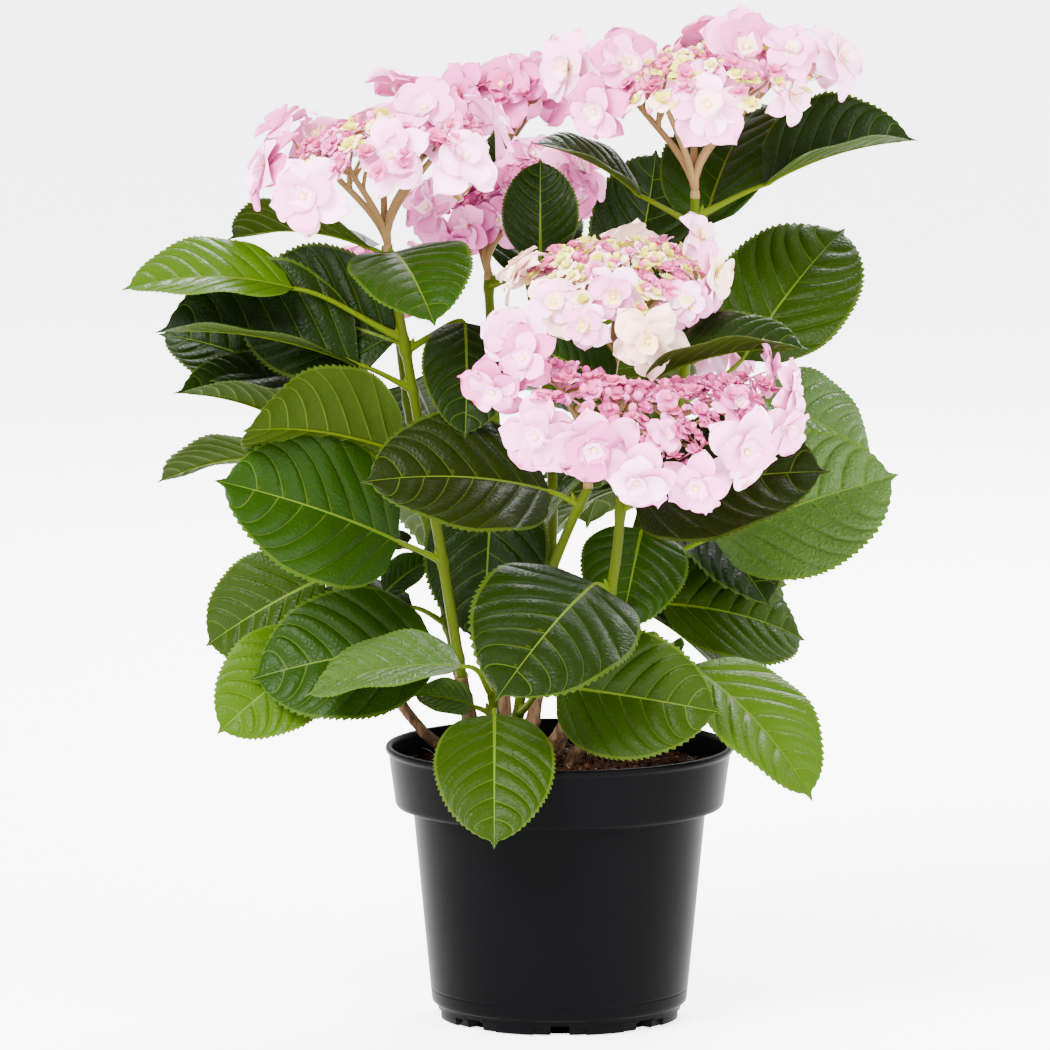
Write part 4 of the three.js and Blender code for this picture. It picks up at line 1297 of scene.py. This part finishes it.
class BlossomSettings(bpy.types.PropertyGroup):
    # Pale, blush and pink are one petal colour, lit, plain and shaded. Pale is painted highlight and
    # pink is painted shade, dealt to whole petals at random rather than where the light falls. Pale is
    # also the paler middle of some large florets. Mauve is painted shade on small florets.
    blush: shade("Blush", (0.78, 0.27, 0.53), "Most of the large petals")
    pale: shade("Pale", (0.86, 0.46, 0.66), "Petals that face the light")
    shell: shade("Shell", (0.88, 0.60, 0.52), "Palest small florets and middles")
    pink: shade("Pink", (0.58, 0.125, 0.34), "Petals of the shaded heads")
    rose: shade("Rose", (0.58, 0.10, 0.26), "Most of the small florets")
    mauve: shade("Mauve", (0.32, 0.03, 0.14), "Small florets in the shade")
    cream: shade("Cream", (0.88, 0.68, 0.30), "Hearts of the large florets and palest small ones")
    lime: shade("Lime", (0.60, 0.58, 0.05), "Unripe buds and hearts")
    ray: shade("Ray", (0.135, 0.080, 0.030), "Branching stalks of the flower heads")


class WoodSettings(bpy.types.PropertyGroup):
    bark: shade("Bark", (0.050, 0.025, 0.013), "Ground of the bark")
    flake: shade("Flake", (0.15, 0.09, 0.05), "Flakes of pale bark")


class PotSettings(bpy.types.PropertyGroup):
    plastic: shade("Plastic", (0.0013, 0.0013, 0.0015), "Moulded pot")
    peat: shade("Peat", (0.009, 0.004, 0.0025), "Gaps of the peat")
    crumb: shade("Crumb", (0.060, 0.022, 0.010), "Crumbs of the peat")
    roughness: bpy.props.FloatProperty(
        name="Pot roughness", description="Dullness of the plastic", subtype="FACTOR",
        min=0.1, max=1, default=0.38,
    )


class StageSettings(bpy.types.PropertyGroup):
    floor: shade("Floor", (0.86, 0.86, 0.86), "Plain floor")
    sky: bpy.props.FloatProperty(
        name="Surrounding light", description="Strength of the even light from all sides",
        min=0, max=8, default=2.6,
    )
    key: bpy.props.FloatProperty(
        name="Key light", description="Power of the large light at the upper left", subtype="POWER",
        unit="POWER", min=0, max=2000, default=640,
    )
    distance: bpy.props.FloatProperty(
        name="Camera distance", description="From the camera to the middle of the plant",
        subtype="DISTANCE", unit="LENGTH", min=1, max=50, default=6,
    )
    elevation: bpy.props.FloatProperty(
        name="Camera height", description="Angle of the camera above the level", subtype="ANGLE",
        unit="ROTATION", min=-1.5, max=1.5, default=math.radians(7.5),
    )


SETTINGS = {
    "hydrangea_leaf": LeafSettings,
    "hydrangea_blossom": BlossomSettings,
    "hydrangea_wood": WoodSettings,
    "hydrangea_pot": PotSettings,
    "hydrangea_stage": StageSettings,
}
TONES = ("deep", "fresh", "spring", "bright", "light", "olive")
PETALS = ("blush", "pale", "shell", "pink", "rose", "mauve", "cream", "lime")


@lru_cache(maxsize=None)
def leaf_finishes():
    """Finishes of the blades: each tone's flesh, veins, midrib and margin, and the underside's."""
    colours = bpy.context.scene.hydrangea_leaf
    vein, under = tuple(colours.vein), tuple(colours.under)
    finishes = {}
    for tone in TONES:
        colour = tuple(getattr(colours, tone))
        net, sheen = (FROST_NET, FROST_SHEEN) if tone == "light" else (NET, SHEEN)
        finishes[tone] = leaf_finish(f"leaf {tone}", colour, colours.roughness, net, sheen)
        for part, share in PALER:
            paler = blended(colour, vein, share)
            finishes[f"{tone} {part}"] = vein_finish(f"leaf {part} {tone}", paler)
    finishes["under"] = leaf_finish("leaf underside", under, UNDER_ROUGHNESS, UNDER_NET, SHEEN)
    for part, share in UNDER_PALER:
        finishes[f"under {part}"] = vein_finish(f"underside {part}", blended(under, vein, share))
    return finishes


@lru_cache(maxsize=None)
def green_finishes():
    """Finishes of the green shoots and leaf stalks."""
    colours = bpy.context.scene.hydrangea_leaf
    return {
        "stalk": shoot_finish("leaf stalk", tuple(colours.stalk), darker(colours.stalk, 0.55)),
        "stem": shoot_finish("green shoot", darker(colours.stalk, 0.72), tuple(colours.speck)),
    }


@lru_cache(maxsize=None)
def blossom_finishes():
    """Finishes of the petals and of the stalks in a flower head."""
    colours = bpy.context.scene.hydrangea_blossom
    finishes = {tint: petal_finish(f"petal {tint}", tuple(getattr(colours, tint))) for tint in PETALS}
    finishes["ray"] = shoot_finish("flower stalk", tuple(colours.ray), darker(colours.ray, 0.4))
    pale = blended(tuple(colours.ray), tuple(colours.rose), 0.5)
    finishes["pedicel"] = vein_finish("floret stalk", pale)
    return finishes


@lru_cache(maxsize=None)
def pot_finishes():
    """Finishes of the pot and of the peat in it."""
    colours = bpy.context.scene.hydrangea_pot
    peat, crumb = tuple(colours.peat), tuple(colours.crumb)
    return {
        "pot": moulded_finish("moulded plastic", tuple(colours.plastic), colours.roughness),
        "peat": peat_finish("peat", peat, blended(peat, crumb, 0.6)),
        "crumb": peat_finish("peat crumb", blended(peat, crumb, 0.5), crumb),
        "fibre": vein_finish("peat fibre", blended(crumb, STRAW, 0.4)),
    }


# ---- Operators ------------------------------------------------------------------------------


class HYDRANGEA_OT_stage(bpy.types.Operator):
    """Add the pale floor, the soft lights and the camera"""

    bl_idname = "hydrangea.stage"
    bl_label = "Stage, lights and camera"

    def execute(self, context):
        stage = context.scene.hydrangea_stage
        self.add_floor(context, tuple(stage.floor))
        self.add_sky(context, stage.sky)
        middle = Vector(AIM) * MM
        for name, place, size, share in LIGHTS:
            self.add_light(context, name, place, middle, size, stage.key * share)
        self.add_camera(context, middle, stage.distance, stage.elevation)
        return {"FINISHED"}

    def add_floor(self, context, colour):
        glow = {"Emission Color": (1, 1, 1, 1), "Emission Strength": FLOOR_GLOW}
        finish = Finish("floor", colour, 0.9, **glow)
        finish.relief(finish.noise(30), 0.05, 0.2)
        rings = np.linspace(0.01, 1, FLOOR_RINGS)[:, None] ** 2 * FLOOR_RADIUS
        turns = round_turns(FLOOR_SIDES)[None, :]
        level = np.full((FLOOR_RINGS, FLOOR_SIDES), -FLOOR_DROP)
        skin = Skin()
        points = np.stack((rings * np.cos(turns), rings * np.sin(turns), level), axis=-1)
        skin.grid(points, "floor", wrap=True)
        floor = bpy.data.objects.new("floor", skin.mesh("floor", {"floor": finish.material}))
        context.scene.collection.objects.link(floor)

    def add_sky(self, context, strength):
        world = bpy.data.worlds.new("studio")
        world.use_nodes = True
        sky = world.node_tree.nodes["Background"]
        sky.inputs["Color"].default_value = (1, 1, 1, 1)
        sky.inputs["Strength"].default_value = strength
        context.scene.world = world

    def add_light(self, context, name, place, aim, size, power):
        lamp = bpy.data.lights.new(name, "AREA")
        lamp.shape = "DISK"
        lamp.size = size
        lamp.energy = power
        light = bpy.data.objects.new(name, lamp)
        light.location = place
        light.rotation_euler = (aim - Vector(place)).to_track_quat("-Z", "Y").to_euler()
        context.scene.collection.objects.link(light)

    def add_camera(self, context, middle, distance, elevation):
        eye = bpy.data.cameras.new("camera")
        eye.sensor_width = 36
        eye.lens = eye.sensor_width * FRAME_DISTANCE / FRAME_WIDTH
        camera = bpy.data.objects.new("camera", eye)
        back = Vector((0, -math.cos(elevation), math.sin(elevation)))
        camera.location = middle + back * distance
        camera.rotation_euler = (-back).to_track_quat("-Z", "Y").to_euler()
        context.scene.collection.objects.link(camera)
        context.scene.camera = camera


class HYDRANGEA_OT_pot(bpy.types.Operator):
    """Add the moulded pot in place of its solid"""

    bl_idname = "hydrangea.pot"
    bl_label = "Pot"

    def execute(self, context):
        skin = Skin()
        add_pot(skin)
        add_piece("pot_shell", skin, pot_finishes(), "pot")
        return {"FINISHED"}


class HYDRANGEA_OT_peat(bpy.types.Operator):
    """Add the rough peat in the pot"""

    bl_idname = "hydrangea.peat"
    bl_label = "Peat"

    def execute(self, context):
        skin = Skin()
        add_peat(skin)
        add_piece("peat_top", skin, pot_finishes(), "soil")
        return {"FINISHED"}


class HYDRANGEA_OT_canes(bpy.types.Operator):
    """Add the woody canes with their bark"""

    bl_idname = "hydrangea.canes"
    bl_label = "Woody canes"

    def execute(self, context):
        colours = context.scene.hydrangea_wood
        finishes = {"bark": bark_finish("bark", tuple(colours.bark), tuple(colours.flake))}
        for number, (name, shoot) in enumerate(plan().shoots.items()):
            skin = Skin()
            add_cane(skin, shoot, number * BARK_SHIFT)
            add_piece(f"bark_{name}", skin, finishes, f"cane_{name}")
        return {"FINISHED"}


class HYDRANGEA_OT_shoots(bpy.types.Operator):
    """Add the green shoots, leaf stalks and buds"""

    bl_idname = "hydrangea.shoots"
    bl_label = "Green shoots and leaf stalks"

    def execute(self, context):
        for name, leaves in plan().leaves.items():
            skin = Skin()
            add_stem(skin, plan().shoots[name], leaves)
            for leaf in leaves:
                add_petiole(skin, leaf)
                add_bud(skin, leaf)
            add_piece(f"stems_{name}", skin, green_finishes(), f"leaves_{name}")
        return {"FINISHED"}


class HYDRANGEA_OT_blades(bpy.types.Operator):
    """Add the leaf blades"""

    bl_idname = "hydrangea.blades"
    bl_label = "Leaf blades"

    def execute(self, context):
        random = np.random.default_rng(BLADE_SEED)
        for name, leaves in plan().leaves.items():
            skin = Skin()
            for leaf in leaves:
                tone = leaf.tone or FILL_TONES[random.integers(len(FILL_TONES))]
                add_blade(skin, leaf, tone, bool(leaf.tone), random.uniform())
            add_piece(f"blades_{name}", skin, leaf_finishes(), f"leaves_{name}")
        return {"FINISHED"}


class HYDRANGEA_OT_blossom(bpy.types.Operator):
    """Add the flower heads: stalks, large florets and small florets"""

    bl_idname = "hydrangea.blossom"
    bl_label = "Flower heads"

    def execute(self, context):
        for name, head in HEADS.items():
            stalks, blooms, buds = Skin(), Skin(), Skin()
            add_head(name, head, plan().florets[name], stalks, blooms, buds)
            for part, skin in (("rays", stalks), ("florets", blooms), ("buds", buds)):
                add_piece(f"{part}_{name}", skin, blossom_finishes(), f"blossom_{name}")
        return {"FINISHED"}


OPERATORS = (
    HYDRANGEA_OT_stage,
    HYDRANGEA_OT_pot,
    HYDRANGEA_OT_peat,
    HYDRANGEA_OT_canes,
    HYDRANGEA_OT_shoots,
    HYDRANGEA_OT_blades,
    HYDRANGEA_OT_blossom,
)


class HYDRANGEA_PT_panel(bpy.types.Panel):
    """Lists the pieces of the hydrangea and their colours"""

    bl_idname = "HYDRANGEA_PT_panel"
    bl_label = "Hydrangea"
    bl_space_type = "VIEW_3D"
    bl_region_type = "UI"
    bl_category = "Hydrangea"

    def draw(self, context):
        for operator in OPERATORS:
            self.layout.operator(operator.bl_idname)
        for key, group in SETTINGS.items():
            box = self.layout.box()
            for setting in group.__annotations__:
                box.prop(getattr(context.scene, key), setting)


CLASSES = (*SETTINGS.values(), *OPERATORS, HYDRANGEA_PT_panel)


def register():
    for one in CLASSES:
        bpy.utils.register_class(one)
    for key, group in SETTINGS.items():
        setattr(bpy.types.Scene, key, bpy.props.PointerProperty(type=group))


def unregister():
    for key in SETTINGS:
        delattr(bpy.types.Scene, key)
    for one in reversed(CLASSES):
        bpy.utils.unregister_class(one)


def main():
    """Adds every piece in turn."""
    register()
    for operator in OPERATORS:
        group, name = operator.bl_idname.split(".")
        getattr(getattr(bpy.ops, group), name)()


if __name__ == "__main__":
    main()
